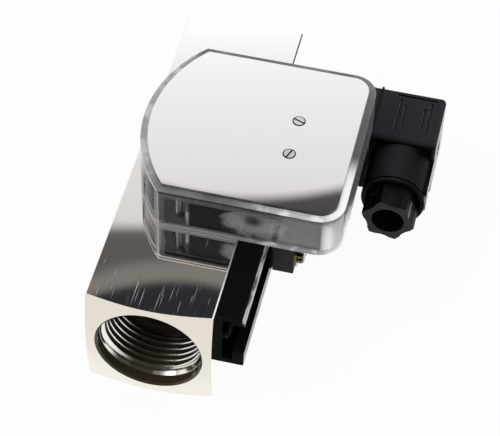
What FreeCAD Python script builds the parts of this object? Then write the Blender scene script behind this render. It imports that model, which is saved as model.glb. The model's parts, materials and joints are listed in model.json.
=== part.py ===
import FreeCAD, Part
import os
import re

import Sketcher

# Variable area flow meter with a magnetically coupled pointer and a switch head on a rail.
# Millimetres. The origin is the middle of the flow body's underside, +X points to the side
# that carries the rail, +Y runs along the flow and +Z is up.

DIMENSIONS = [
    # flow body: a square bar, turned at both ends and threaded inside
    ("block_side", 40.0),
    ("block_length", 131.8),
    ("block_bevel", 0.4),
    ("end_radius", 20.0),
    ("end_setback", 2.22),
    ("thread_radius", 16.625),
    ("thread_depth", 20.0),
    ("mouth_radius", 17.2),
    ("mouth_depth", 0.6),
    ("bore_radius", 14.0),
    ("lip_radius", 12.6),
    ("lip_width", 1.9),
    ("ring_groove_radius", 14.7),
    ("ring_groove_width", 1.2),
    ("ring_groove_far", 45.2),
    # fits
    ("running_gap", 0.05),
    ("seat_gap", 0.02),
    ("free_gap", 0.3),
    ("overrun", 1.0),
    # metering stack inside the bore
    ("spider_width", 5.0),
    ("spider_ring", 2.0),
    ("spider_hub", 5.0),
    ("spider_arm", 2.0),
    ("sleeve_inlet_radius", 10.9),
    ("sleeve_outlet_radius", 12.7),
    ("rod_radius", 2.5),
    ("stop_radius", 3.6),
    ("piston_radius", 10.4),
    ("piston_nose", 4.6),
    ("piston_nose_length", 3.0),
    ("piston_rim", 2.0),
    ("piston_rest", -24.0),
    ("piston_hub", 5.0),
    ("magnet_radius", 8.2),
    ("magnet_length", 5.0),
    ("clip_radius", 7.0),
    ("clip_width", 1.0),
    ("hub_tail", 1.0),
    ("spring_radius", 3.9),
    ("spring_wire", 0.45),
    ("spring_turns", 9.0),
    # rail on the side of the block
    ("rail_depth", 9.3),
    ("rail_height", 22.4),
    ("rail_low", 17.0),
    ("rail_flange", 2.0),
    ("rail_web", 2.4),
    ("rail_lip_depth", 3.6),
    ("rail_upper_lip", 3.1),
    ("rail_lower_lip", 6.0),
    ("rail_round", 0.8),
    ("rail_near", -61.9),
    ("rail_far", 31.0),
    ("rail_screw_near", -57.5),
    ("rail_screw_far", 26.0),
    ("rail_screw_radius", 1.6),
    ("rail_screw_grip", 4.0),
    ("tap_runout", 0.5),
    ("rail_screw_head", 3.0),
    ("rail_screw_head_height", 1.9),
    # slider of the switch head
    ("slider_gap", 0.8),
    ("slider_depth", 6.8),
    ("slider_half", 26.0),
    ("slider_low", 21.6),
    ("slider_top", 39.7),
    ("nut_bar_near", -27.0),
    ("nut_bar_far", 18.0),
    ("nut_bar_depth", 2.7),
    ("clamp_place", -20.5),
    ("clamp_shank", 1.95),
    ("clamp_collar", 6.0),
    ("clamp_collar_width", 0.8),
    ("clamp_head", 4.8),
    ("clamp_head_width", 2.0),
    ("clamp_notch", 0.6),
    ("clamp_notch_count", 16),
    ("reed_radius", 1.4),
    ("reed_length", 24.0),
    ("reed_bore", 1.9),
    ("reed_lead", 0.42),
    ("reed_lead_length", 4.0),
    ("reed_seal", 1.0),
    # pointer works under the hood
    ("pivot_place", 30.3),
    ("bracket_left", 24.0),
    ("bracket_thickness", 2.0),
    ("bracket_screw_place", 15.0),
    ("bracket_screw_grip", 5.5),
    ("bracket_screw_crown", 1.6),
    ("crown_bevel", 0.4),
    ("post_radius", 2.6),
    ("post_spacing", 14.5),
    ("post_shift", -0.8),
    ("post_top", 48.7),
    ("post_hole", 1.25),
    ("axle_radius", 1.0),
    ("axle_low", 40.0),
    ("axle_high", 52.5),
    ("axle_collar", 1.8),
    ("arm_low", 42.4),
    ("arm_thickness", 1.2),
    ("arm_reach", 41.4),
    ("arm_root", 1.8),
    ("arm_tip", 0.8),
    ("arm_tail", 8.0),
    ("arm_hub", 3.4),
    ("arm_hub_height", 3.0),
    ("flag_thickness", 0.5),
    ("flag_half", 0.35),
    ("flag_top", 53.0),
    ("follower_reach", 30.3),
    ("follower_radius", 3.0),
    ("follower_height", 1.7),
    ("pointer_rest", 42.0),
    ("drum_radius", 39.6),
    ("drum_half", 29.4),
    ("drum_right", 44.8),
    ("drum_foot", 40.35),
    ("drum_flange", 45.9),
    ("drum_flange_thickness", 0.7),
    ("drum_low", 44.6),
    ("drum_wall", 1.6),
    ("drum_centre_boss", 2.6),
    # transparent hood and its face plate
    ("hood_radius", 48.5),
    ("hood_half", 32.3),
    ("hood_right", 51.7),
    ("hood_wall", 2.3),
    ("hood_low", 40.25),
    ("hood_top", 56.3),
    ("hood_corner", 8.0),
    ("hood_left_corner", 1.5),
    ("roof_low", 53.3),
    ("plate_thickness", 1.5),
    ("plate_proud", 0.9),
    ("plate_play", 0.1),
    ("face_screw_head", 1.75),
    ("face_screw_play", 0.4),
    ("face_screw_shank", 1.2),
    ("face_screw_proud", 0.15),
    ("face_screw_low", 43.5),
    ("slot_width", 0.55),
    ("slot_depth", 0.5),
    # terminal box beside the slider
    ("box_right", 49.2),
    ("box_near", 6.0),
    ("box_far", 45.4),
    ("box_low", 15.5),
    ("box_top", 39.2),
    ("box_wall", 1.8),
    ("cover_thickness", 2.0),
    ("cover_rim_depth", 1.5),
    ("window_half_width", 8.2),
    ("window_half_height", 7.2),
    # plug connector and its cable gland
    ("flange_thickness", 2.0),
    ("flange_near", 1.2),
    ("flange_far", -0.6),
    ("flange_low", 0.5),
    ("flange_top", 0.4),
    ("gasket_thickness", 0.8),
    ("plug_right", 73.2),
    ("plug_near", 23.0),
    ("plug_far", 46.0),
    ("plug_low", 15.6),
    ("plug_top", 39.5),
    ("plug_wall", 2.0),
    ("plug_lid", 3.7),
    ("plug_edge", 1.6),
    ("grip_width", 0.7),
    ("grip_depth", 0.5),
    ("grip_pitch", 1.9),
    ("grip_reach", 5.2),
    ("grip_long", 7.3),
    ("grip_short", 4.7),
    ("grip_middle", 63.7),
    ("frame_reach", 6.9),
    ("frame_place", 43.2),
    ("gland_place", 62.6),
    ("gland_height", 27.5),
    ("boss_radius", 10.5),
    ("boss_near", 6.7),
    ("boss_round", 0.7),
    ("boss_groove", 0.6),
    ("boss_groove_place", 7.7),
    ("boss_groove_width", 0.7),
    ("ridge_half", 4.5),
    ("ridge_near", 9.6),
    ("nut_recess", 9.15),
    ("nut_recess_depth", 8.2),
    ("seal_seat", 7.2),
    ("seal_depth", 4.0),
    ("cable_radius", 5.3),
    ("washer_thickness", 0.8),
    ("seal_inner", 3.6),
    ("seal_mouth", 4.8),
    ("nut_corner", 8.8),
    ("nut_near", -1.7),
    ("nut_turn", 50.0),
    ("scallop_radius", 6.0),
    ("scallop_depth", 0.45),
    ("insert_margin", 0.4),
    ("insert_depth", 9.6),
    ("blade_width", 6.3),
    ("blade_thickness", 0.8),
    ("blade_spacing", 11.0),
    ("blade_low", 44.0),
    ("blade_high", 59.0),
    ("earth_place", 7.0),
    ("plug_screw_head", 2.8),
    ("plug_screw_shank", 1.5),
    ("plug_screw_end", 46.0),
    ("plug_screw_sink", 2.4),
    ("plug_screw_proud", 0.4),
]
NAMES = {name for name, _ in DIMENSIONS}

doc = FreeCAD.newDocument("flow_meter")
sheet = doc.addObject("Spreadsheet::Sheet", "Dims")
for row, (name, value) in enumerate(DIMENSIONS, 1):
    sheet.set(f"A{row}", name)
    sheet.set(f"B{row}", str(value))
    sheet.setAlias(f"B{row}", name)
doc.recompute()

X_AXIS = FreeCAD.Vector(1, 0, 0)
Y_AXIS = FreeCAD.Vector(0, 1, 0)
Z_AXIS = FreeCAD.Vector(0, 0, 1)
AXES = {"X": X_AXIS, "Y": Y_AXIS, "Z": Z_AXIS}
parts = []

# Lengths that several pieces share, as formulas on the sheet
HALF = "block_side / 2"
END = "block_length / 2"
SHOULDER = "(block_length / 2 - thread_depth)"
SEAT = "(block_length / 2 - thread_depth - lip_width)"
SLEEVE_END = "(block_length / 2 - thread_depth - lip_width - spider_width)"
RAIL_MID = "(rail_low + rail_height / 2)"
RAIL_FACE = "(block_side / 2 + rail_depth)"
SLIDER_LEFT = "(block_side / 2 + rail_depth + slider_gap)"
SLIDER_RIGHT = "(block_side / 2 + rail_depth + slider_gap + slider_depth)"
MAGNET_BACK = "(piston_rest + piston_rim + magnet_length)"
HUB_END = "(piston_rest + piston_rim + magnet_length + clip_width + hub_tail)"
PLATE_TOP = "(hood_top + plate_proud)"
PLATE_LOW = "(hood_top + plate_proud - plate_thickness)"
PLUG_LEFT = "(box_right + flange_thickness + gasket_thickness)"
PLUG_MID = "((plug_near + plug_far) / 2)"
NUT_SEAT = "(boss_near + nut_recess_depth)"


def size(formula):
    """Point every dimension name of a formula at its cell in the sheet."""
    return re.sub(r"[a-z_]+", lambda word: point_at(word.group()), formula)


def point_at(word):
    return "Dims." + word if word in NAMES else word


def number(formula):
    """The value that a formula has with the sheet's present dimensions."""
    result = sheet.evalExpression(size(formula))
    return float(getattr(result, "Value", result))


def bind(item, **formulas):
    for name, formula in formulas.items():
        item.setExpression(name, size(formula))


def place(item, x, y, z):
    for axis, formula in zip("xyz", (x, y, z)):
        item.setExpression("Placement.Base." + axis, size(formula))


def keep(item):
    """Hand a finished piece in under its label."""
    parts.append(item)
    return item


def box(name, low, high):
    """A block between two corners, each given as three formulas."""
    item = doc.addObject("Part::Box", name)
    spans = [f"({b}) - ({a})" for a, b in zip(low, high)]
    bind(item, Length=spans[0], Width=spans[1], Height=spans[2])
    place(item, *low)
    return item


def rod(name, direction, start, radius, length):
    """A round bar from a start point along one axis."""
    item = doc.addObject("Part::Cylinder", name)
    item.Placement.Rotation = FreeCAD.Rotation(Z_AXIS, AXES[direction])
    bind(item, Radius=radius, Height=length)
    place(item, *start)
    return item


def tube(name, direction, start, outer, inner, length):
    outside = rod(name + "_outside", direction, start, outer, length)
    inside = rod(name + "_inside", direction, start, inner, length)
    return cut(name, outside, [inside])


def fuse(name, shapes):
    item = doc.addObject("Part::MultiFuse", name)
    item.Shapes = shapes
    item.Refine = True
    return item


def group(name, shapes):
    """Separate solids that share one node."""
    item = doc.addObject("Part::Compound", name)
    item.Links = shapes
    return item


def cut(name, base, tools):
    item = doc.addObject("Part::Cut", name)
    item.Base = base
    item.Tool = tools[0] if len(tools) == 1 else fuse(name + "_tools", tools)
    item.Refine = True
    return item


def new_body(name):
    return doc.addObject("PartDesign::Body", name)


def sketch_on(body, name, plane, offset=("0", "0", "0")):
    """A sketch on one of the body's own planes, shifted by three formulas."""
    sketch = body.newObject("Sketcher::SketchObject", name)
    support = [item for item in body.Origin.OriginFeatures if item.Role == plane][0]
    sketch.AttachmentSupport = (support, [""])
    sketch.MapMode = "FlatFace"
    for axis, formula in zip("xyz", offset):
        sketch.setExpression("AttachmentOffset.Base." + axis, size(formula))
    return sketch


def hold(sketch, element, point, u=None, v=None):
    """Fix a point of a sketch by formulas for its two coordinates."""
    for kind, formula in (("DistanceX", u), ("DistanceY", v)):
        if formula is not None:
            rule = Sketcher.Constraint(kind, element, point, number(formula))
            index = sketch.addConstraint(rule)
            sketch.setExpression(f"Constraints[{index}]", size(formula))


def polygon(sketch, corners):
    """A closed outline of straight lines."""
    points = [FreeCAD.Vector(number(u), number(v), 0) for u, v in corners]
    first = sketch.GeometryCount
    count = len(points)
    for i, point in enumerate(points):
        sketch.addGeometry(Part.LineSegment(point, points[(i + 1) % count]), False)
    for i, (u, v) in enumerate(corners):
        follower = first + (i + 1) % count
        sketch.addConstraint(Sketcher.Constraint("Coincident", first + i, 2, follower, 1))
        hold(sketch, first + i, 1, u, v)


def rectangle(sketch, left, low, right, high):
    polygon(sketch, [(left, low), (right, low), (right, high), (left, high)])


def circle(sketch, u, v, radius):
    centre = FreeCAD.Vector(number(u), number(v), 0)
    element = sketch.addGeometry(Part.Circle(centre, Z_AXIS, number(radius)), False)
    index = sketch.addConstraint(Sketcher.Constraint("Radius", element, number(radius)))
    sketch.setExpression(f"Constraints[{index}]", size(radius))
    hold(sketch, element, 3, u, v)


def sector(sketch, radius, half, right):
    """The indicator's outline: an arc about the pivot, two straight sides and a right edge."""
    centre = FreeCAD.Vector(number("pivot_place"), 0, 0)
    reach = number(radius)
    side = number(half)
    edge = number(right)
    left = centre.x - (reach ** 2 - side ** 2) ** 0.5
    corners = [(left, -side), (edge, -side), (edge, side), (left, side)]
    points = [FreeCAD.Vector(u, v, 0) for u, v in corners]
    for start, end in zip(points[:-1], points[1:]):
        sketch.addGeometry(Part.LineSegment(start, end), False)
    middle = FreeCAD.Vector(centre.x - reach, 0, 0)
    arc = sketch.addGeometry(Part.Arc(points[3], middle, points[0]), False)
    for first, second in ((0, 1), (1, 2)):
        sketch.addConstraint(Sketcher.Constraint("Coincident", first, 2, second, 1))
    sketch.addConstraint(Sketcher.Constraint("Coincident", 2, 2, arc, 1))
    sketch.addConstraint(Sketcher.Constraint("Coincident", arc, 2, 0, 1))
    hold(sketch, arc, 3, "pivot_place", "0")
    index = sketch.addConstraint(Sketcher.Constraint("Radius", arc, reach))
    sketch.setExpression(f"Constraints[{index}]", size(radius))
    hold(sketch, 0, 1, None, f"-({half})")
    hold(sketch, 0, 2, right, f"-({half})")
    hold(sketch, 1, 2, right, half)
    hold(sketch, 2, 2, None, half)


def add_feature(body, kind, name, sketch):
    feature = body.newObject("PartDesign::" + kind, name)
    feature.Profile = sketch
    body.Tip = feature
    return feature


def pad(body, sketch, length, symmetric=False, reverse=False):
    feature = add_feature(body, "Pad", sketch.Name + "_pad", sketch)
    feature.SideType = "Symmetric" if symmetric else "One side"
    feature.Reversed = reverse
    bind(feature, Length=length)
    doc.recompute()
    return feature


def pocket(body, sketch, length, reverse=False):
    before = body.Shape.Volume
    feature = add_feature(body, "Pocket", sketch.Name + "_pocket", sketch)
    feature.Reversed = reverse
    bind(feature, Length=length)
    must_remove(body, before, feature)
    return feature


def must_remove(body, before, feature):
    doc.recompute()
    if body.Shape.Volume > before - 1e-6:
        raise RuntimeError(feature.Name + " removes nothing")


def groove(body, sketch):
    """Turn a profile about the sketch's own horizontal axis and take it away."""
    before = body.Shape.Volume
    feature = add_feature(body, "Groove", sketch.Name + "_groove", sketch)
    feature.ReferenceAxis = (sketch, ["H_Axis"])
    feature.Angle = 360
    must_remove(body, before, feature)
    return feature


def round_edges(body, radius, test):
    """Round the edges of a body's last feature that pass a test."""
    base = body.Tip
    names = [f"Edge{i}" for i, edge in enumerate(base.Shape.Edges, 1) if test(edge)]
    feature = body.newObject("PartDesign::Fillet", base.Name + "_round")
    feature.Base = (base, names)
    bind(feature, Radius=radius)
    body.Tip = feature
    doc.recompute()
    return feature


def upright(edge):
    """The X place of an edge along Z; not a number for any other edge, so it passes no test."""
    start = edge.Vertexes[0].Point
    end = edge.Vertexes[-1].Point
    same = abs(start.x - end.x) < 1e-4 and abs(start.y - end.y) < 1e-4
    return start.x if same and abs(start.z - end.z) > 1e-4 else float("nan")


def turned(name, direction, first, second, profile):
    """A turned piece: (along, radius) corners about an axis through two centre formulas."""
    body = new_body(name)
    planes = {"X": "XZ_Plane", "Y": "YZ_Plane", "Z": "XZ_Plane"}
    offsets = {
        "X": ("0", second, f"-({first})"),
        "Y": ("0", second, first),
        "Z": (first, "0", f"-({second})"),
    }
    sketch = sketch_on(body, name + "_profile", planes[direction], offsets[direction])
    corners = profile
    if direction == "Z":
        corners = [(radius, along) for along, radius in profile]
    polygon(sketch, corners)
    feature = add_feature(body, "Revolution", name + "_turned", sketch)
    feature.ReferenceAxis = (sketch, ["V_Axis" if direction == "Z" else "H_Axis"])
    feature.Angle = 360
    doc.recompute()
    return body


def make_flow_body():
    """Square bar with coned ends, a threaded port at each end and the metering bore."""
    body = new_body("flow_body")
    face = sketch_on(body, "bar_section", "XZ_Plane")
    corners = []
    for u, v in ((-1, 0), (1, 0), (1, 1), (-1, 1)):
        edge = f"{u} * block_side / 2"
        level = f"{v} * block_side"
        inward = f"{-u} * block_bevel"
        upward = f"{1 - 2 * v} * block_bevel"
        pair = [(f"{edge} + {inward}", level), (edge, f"{level} + {upward}")]
        corners += pair if u * (1 - 2 * v) > 0 else pair[::-1]
    polygon(face, corners)
    pad(body, face, "block_length", symmetric=True)
    cone = sketch_on(body, "end_cones", "YZ_Plane", ("0", HALF, "0"))
    reach = "block_side / 2 * sqrt(2)"
    for sign in ("-1", "1"):
        polygon(cone, [
            (f"{sign} * {END}", "end_radius"),
            (f"{sign} * ({END} + overrun)", "end_radius"),
            (f"{sign} * ({END} + overrun)", reach),
            (f"{sign} * ({END} - end_setback)", reach),
        ])
    groove(body, cone)
    bore = sketch_on(body, "bore_profile", "YZ_Plane", ("0", HALF, "0"))
    polygon(bore, [
        (f"-{END}", "0"),
        (f"-{END}", "mouth_radius"),
        (f"-{END} + mouth_depth", "thread_radius"),
        (f"-{SHOULDER}", "thread_radius"),
        (f"-{SHOULDER}", "lip_radius"),
        (f"-{SEAT}", "lip_radius"),
        (f"-{SEAT}", "bore_radius"),
        ("ring_groove_far - ring_groove_width", "bore_radius"),
        ("ring_groove_far - ring_groove_width", "ring_groove_radius"),
        ("ring_groove_far", "ring_groove_radius"),
        ("ring_groove_far", "bore_radius"),
        (SHOULDER, "bore_radius"),
        (SHOULDER, "thread_radius"),
        (f"{END} - mouth_depth", "thread_radius"),
        (END, "mouth_radius"),
        (END, "0"),
    ])
    groove(body, bore)
    holes = sketch_on(body, "rail_screw_holes", "YZ_Plane", ("0", "0", HALF))
    for spot in ("rail_screw_near", "rail_screw_far"):
        circle(holes, spot, RAIL_MID, "rail_screw_radius")
    pocket(body, holes, "rail_screw_grip + tap_runout")
    return keep(body)


def make_rail():
    """C-section rail that the switch head slides on, open towards +X."""
    body = new_body("c_rail")
    section = sketch_on(body, "rail_section", "XZ_Plane", ("0", "0", "-rail_far"))
    top = "rail_low + rail_height"
    inner_left = f"{HALF} + rail_web"
    lip_left = f"{RAIL_FACE} - rail_lip_depth"
    polygon(section, [
        (HALF, "rail_low"),
        (RAIL_FACE, "rail_low"),
        (RAIL_FACE, "rail_low + rail_lower_lip"),
        (lip_left, "rail_low + rail_lower_lip"),
        (lip_left, "rail_low + rail_flange"),
        (inner_left, "rail_low + rail_flange"),
        (inner_left, f"{top} - rail_flange"),
        (lip_left, f"{top} - rail_flange"),
        (lip_left, f"{top} - rail_upper_lip"),
        (RAIL_FACE, f"{top} - rail_upper_lip"),
        (RAIL_FACE, top),
        (HALF, top),
    ])
    pad(body, section, "rail_far - rail_near")
    round_edges(body, "rail_round", on_rail_corner)
    holes = sketch_on(body, "rail_holes", "YZ_Plane", ("0", "0", f"{HALF} + rail_web"))
    for spot in ("rail_screw_near", "rail_screw_far"):
        circle(holes, spot, RAIL_MID, "rail_screw_radius + running_gap")
    pocket(body, holes, "rail_web")
    return keep(body)


def on_rail_corner(edge):
    """True for the two long edges between the rail's face and its top and bottom."""
    spot = edge.CenterOfMass
    levels = (number("rail_low"), number("rail_low + rail_height"))
    on_face = abs(spot.x - number(RAIL_FACE)) < 1e-4
    return on_face and min(abs(spot.z - level) for level in levels) < 1e-4


def make_rail_screws():
    """Two slotted pan head screws inside the rail's channel."""
    screws = []
    for i, spot in enumerate(("rail_screw_near", "rail_screw_far"), 1):
        web = f"({HALF} + rail_web)"
        crown = f"{web} + rail_screw_head_height"
        blank = turned(f"rail_screw_{i}_blank", "X", spot, RAIL_MID, [
            (f"{HALF} - rail_screw_grip", "0"),
            (f"{HALF} - rail_screw_grip", "rail_screw_radius"),
            (web, "rail_screw_radius"),
            (web, "rail_screw_head"),
            (f"{crown} - slot_depth", "rail_screw_head"),
            (crown, "rail_screw_head - slot_depth"),
            (crown, "0"),
        ])
        slot = box(
            f"rail_screw_{i}_slot",
            (f"{crown} - slot_depth", f"{spot} - slot_width", f"{RAIL_MID} - rail_screw_head"),
            (f"{crown} + slot_depth", f"{spot} + slot_width", f"{RAIL_MID} + rail_screw_head"),
        )
        screws.append(cut(f"rail_screw_{i}", blank, [slot]))
    return keep(group("rail_screws", screws))


def make_metering_sleeve():
    """Sleeve whose bore widens along the flow, so the gap round the piston grows."""
    outer = "bore_radius - seat_gap"
    return keep(turned("metering_sleeve", "Y", "0", HALF, [
        (f"-{SLEEVE_END}", "sleeve_inlet_radius"),
        (f"-{SLEEVE_END}", outer),
        (SLEEVE_END, outer),
        (SLEEVE_END, "sleeve_outlet_radius"),
    ]))


def make_spider(name, near):
    """Ring, hub and three arms that hold one end of the guide rod in the flow."""
    start = ("0", near, HALF)
    outer = "bore_radius - seat_gap"
    ring = tube(name + "_ring", "Y", start, outer, f"{outer} - spider_ring", "spider_width")
    hub = rod(name + "_hub", "Y", start, "spider_hub", "spider_width")
    arms = []
    for i in range(3):
        arm = doc.addObject("Part::Box", f"{name}_arm_{i + 1}")
        turn = FreeCAD.Rotation(Y_AXIS, 90 + 120 * i)
        arm.Placement = FreeCAD.Placement(FreeCAD.Vector(), turn)
        bind(arm, Length=f"{outer} - spider_ring / 2", Width="spider_width", Height="spider_arm")
        shift = turn.multVec(FreeCAD.Vector(0, 0, -number("spider_arm") / 2))
        place(arm, str(shift.x), near, f"{HALF} + {shift.z}")
        arms.append(arm)
    blank = fuse(name + "_blank", [ring, hub] + arms)
    hole = rod(name + "_hole", "Y", start, "rod_radius + seat_gap", "spider_width")
    return keep(cut(name, blank, [hole]))


def make_guide_rod():
    """Rod through both spiders, with the collar that the piston rests on at no flow."""
    stop = "piston_rest - piston_nose_length - seat_gap"
    return keep(turned("guide_rod", "Y", "0", HALF, [
        (f"-{SEAT}", "0"),
        (f"-{SEAT}", "rod_radius"),
        (f"-{SLEEVE_END}", "rod_radius"),
        (f"-{SLEEVE_END}", "stop_radius"),
        (stop, "stop_radius"),
        (stop, "rod_radius"),
        (SEAT, "rod_radius"),
        (SEAT, "0"),
    ]))


def make_retaining_ring():
    """Open spring ring in the groove behind the outlet spider."""
    start = ("0", "ring_groove_far - ring_groove_width + seat_gap", HALF)
    width = "ring_groove_width - 2 * seat_gap"
    outer = "ring_groove_radius - seat_gap"
    ring = tube("ring_round", "Y", start, outer, "bore_radius - spider_ring", width)
    opening = box(
        "ring_opening",
        ("-spider_ring", "ring_groove_far - 2 * ring_groove_width", HALF),
        ("spider_ring", "ring_groove_far + ring_groove_width", "block_side"),
    )
    return keep(cut("retaining_ring", ring, [opening]))


def make_piston():
    """Float with a coned nose and a hub for the ring magnet."""
    bore = "rod_radius + running_gap"
    back = "piston_rest + piston_rim"
    return keep(turned("piston", "Y", "0", HALF, [
        ("piston_rest - piston_nose_length", bore),
        ("piston_rest - piston_nose_length", "piston_nose"),
        ("piston_rest", "piston_radius"),
        (back, "piston_radius"),
        (back, "piston_hub"),
        (HUB_END, "piston_hub"),
        (HUB_END, bore),
    ]))


def make_ring_magnet():
    start = ("0", "piston_rest + piston_rim", HALF)
    inner = "piston_hub + seat_gap"
    return keep(tube("ring_magnet", "Y", start, "magnet_radius", inner, "magnet_length"))


def make_magnet_clip():
    start = ("0", MAGNET_BACK, HALF)
    inner = "piston_hub + seat_gap"
    return keep(tube("magnet_clip", "Y", start, "clip_radius", inner, "clip_width"))


def make_spring():
    """Compression spring round the guide rod, from the piston's hub to the outlet spider."""
    start = f"{HUB_END} + spring_wire"
    length = f"{SLEEVE_END} - ({HUB_END}) - 2 * spring_wire"
    coil = doc.addObject("Part::Helix", "spring_path")
    coil.Placement.Rotation = FreeCAD.Rotation(Z_AXIS, Y_AXIS)
    bind(coil, Radius="spring_radius", Height=length, Pitch=f"({length}) / spring_turns")
    place(coil, "0", start, HALF)
    wire = doc.addObject("Part::Circle", "spring_wire_section")
    wire.Placement.Rotation = FreeCAD.Rotation(Z_AXIS, Z_AXIS)
    bind(wire, Radius="spring_wire")
    place(wire, "spring_radius", start, HALF)
    spring = doc.addObject("Part::Sweep", "piston_spring")
    spring.Sections = [wire]
    spring.Spine = coil
    spring.Solid = True
    spring.Frenet = True
    return keep(spring)


def make_slider():
    """Plate that bridges the rail's opening and holds the reed contact."""
    body = new_body("slider_plate")
    face = sketch_on(body, "slider_face", "YZ_Plane", ("0", "0", SLIDER_LEFT))
    rectangle(face, "-slider_half", "slider_low", "slider_half", "slider_top")
    pad(body, face, "slider_depth")
    hole = sketch_on(body, "slider_hole", "YZ_Plane", ("0", "0", SLIDER_RIGHT))
    circle(hole, "clamp_place", RAIL_MID, "clamp_shank + running_gap")
    pocket(body, hole, "slider_depth")
    middle = f"({SLIDER_LEFT} + slider_depth / 2)"
    bore = sketch_on(body, "reed_bore_face", "XZ_Plane", ("0", "0", "-slider_half"))
    circle(bore, middle, RAIL_MID, "reed_bore")
    pocket(body, bore, "slider_half + reed_length / 2", reverse=True)
    taps = sketch_on(body, "bracket_taps", "XY_Plane", ("0", "0", "slider_top"))
    for sign in ("-1", "1"):
        circle(taps, middle, f"{sign} * bracket_screw_place", "post_hole")
    pocket(body, taps, "bracket_screw_grip + tap_runout")
    return keep(body)


def make_reed():
    """Sealed contact capsule that the piston's magnet closes."""
    middle = f"({SLIDER_LEFT} + slider_depth / 2)"
    end = "reed_length / 2"
    inner = f"{end} - reed_lead_length"
    return keep(turned("reed_contact", "Y", middle, RAIL_MID, [
        (f"-({end})", "0"),
        (f"-({end})", "reed_lead"),
        (f"-({inner})", "reed_lead"),
        (f"-({inner} - reed_seal)", "reed_radius"),
        (f"{inner} - reed_seal", "reed_radius"),
        (inner, "reed_lead"),
        (end, "reed_lead"),
        (end, "0"),
    ]))


def make_nut_bar():
    """Bar inside the rail with a neck through its opening, which the clamp screw pulls."""
    body = new_body("nut_bar")
    left = f"{HALF} + rail_web + free_gap"
    shoulder = f"{left} + nut_bar_depth"
    low = "rail_low + rail_flange + free_gap"
    high = "rail_low + rail_height - rail_flange - free_gap"
    neck_low = "rail_low + rail_lower_lip + free_gap"
    neck_high = "rail_low + rail_height - rail_upper_lip - free_gap"
    section = sketch_on(body, "nut_bar_section", "XZ_Plane", ("0", "0", "-nut_bar_far"))
    polygon(section, [
        (left, low),
        (shoulder, low),
        (shoulder, neck_low),
        (SLIDER_LEFT, neck_low),
        (SLIDER_LEFT, neck_high),
        (shoulder, neck_high),
        (shoulder, high),
        (left, high),
    ])
    pad(body, section, "nut_bar_far - nut_bar_near")
    hole = sketch_on(body, "nut_bar_hole", "YZ_Plane", ("0", "0", SLIDER_LEFT))
    circle(hole, "clamp_place", RAIL_MID, "clamp_shank + running_gap")
    pocket(body, hole, "rail_depth + slider_gap")
    return keep(body)


def make_clamp_screw():
    """Knurled thumb screw with a collar, which clamps the head to the rail."""
    tip = f"{HALF} + rail_web + 2 * free_gap"
    seat = f"{SLIDER_RIGHT} + running_gap"
    neck = f"{seat} + clamp_collar_width"
    crown = f"{neck} + clamp_head_width"
    blank = turned("clamp_blank", "X", "clamp_place", RAIL_MID, [
        (tip, "0"),
        (tip, "clamp_shank"),
        (seat, "clamp_shank"),
        (seat, "clamp_collar"),
        (neck, "clamp_collar"),
        (neck, "clamp_head"),
        (f"{crown} - clamp_notch", "clamp_head"),
        (crown, "clamp_head - clamp_notch"),
        (crown, "0"),
    ])
    count = round(number("clamp_notch_count"))
    tools = []
    for i in range(count):
        notch = doc.addObject("Part::Prism", f"clamp_notch_{i + 1}")
        notch.Polygon = 4
        spin = FreeCAD.Rotation(X_AXIS, 360.0 * i / count)
        notch.Placement.Rotation = spin.multiply(FreeCAD.Rotation(Z_AXIS, X_AXIS))
        side = spin.multVec(Y_AXIS)
        bind(notch, Circumradius="clamp_notch", Height="clamp_head_width + overrun")
        place(
            notch,
            neck,
            f"clamp_place + {side.y} * clamp_head",
            f"{RAIL_MID} + {side.z} * clamp_head",
        )
        tools.append(notch)
    tools.append(box(
        "clamp_slot",
        (f"{crown} - 2 * slot_depth", "clamp_place - slot_width", f"{RAIL_MID} - clamp_head"),
        (f"{crown} + slot_depth", "clamp_place + slot_width", f"{RAIL_MID} + clamp_head"),
    ))
    return keep(cut("clamp_screw", blank, tools))


def make_bracket():
    """Bridge on top of the slider: two posts for the face screws and the pointer's lower bearing."""
    body = new_body("pivot_bracket")
    top = "slider_top + bracket_thickness"
    foot = sketch_on(body, "bracket_plan", "XY_Plane", ("0", "0", "slider_top"))
    rectangle(foot, "bracket_left", "-slider_half", SLIDER_RIGHT, "slider_half")
    pad(body, foot, "bracket_thickness")
    posts = sketch_on(body, "bracket_posts", "XY_Plane", ("0", "0", top))
    for sign in ("-1", "1"):
        circle(posts, "pivot_place", f"post_shift + {sign} * post_spacing / 2", "post_radius")
    pad(body, posts, f"post_top - ({top})")
    holes = sketch_on(body, "bracket_holes", "XY_Plane", ("0", "0", "post_top"))
    for sign in ("-1", "1"):
        circle(holes, "pivot_place", f"post_shift + {sign} * post_spacing / 2", "post_hole")
    pocket(body, holes, "post_top - face_screw_low + tap_runout")
    middle = f"({SLIDER_LEFT} + slider_depth / 2)"
    bearing = sketch_on(body, "bracket_bearing", "XY_Plane", ("0", "0", top))
    circle(bearing, "pivot_place", "0", "axle_radius + running_gap")
    for sign in ("-1", "1"):
        circle(bearing, middle, f"{sign} * bracket_screw_place", "post_hole + running_gap")
    pocket(body, bearing, "bracket_thickness")
    return keep(body)


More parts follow.
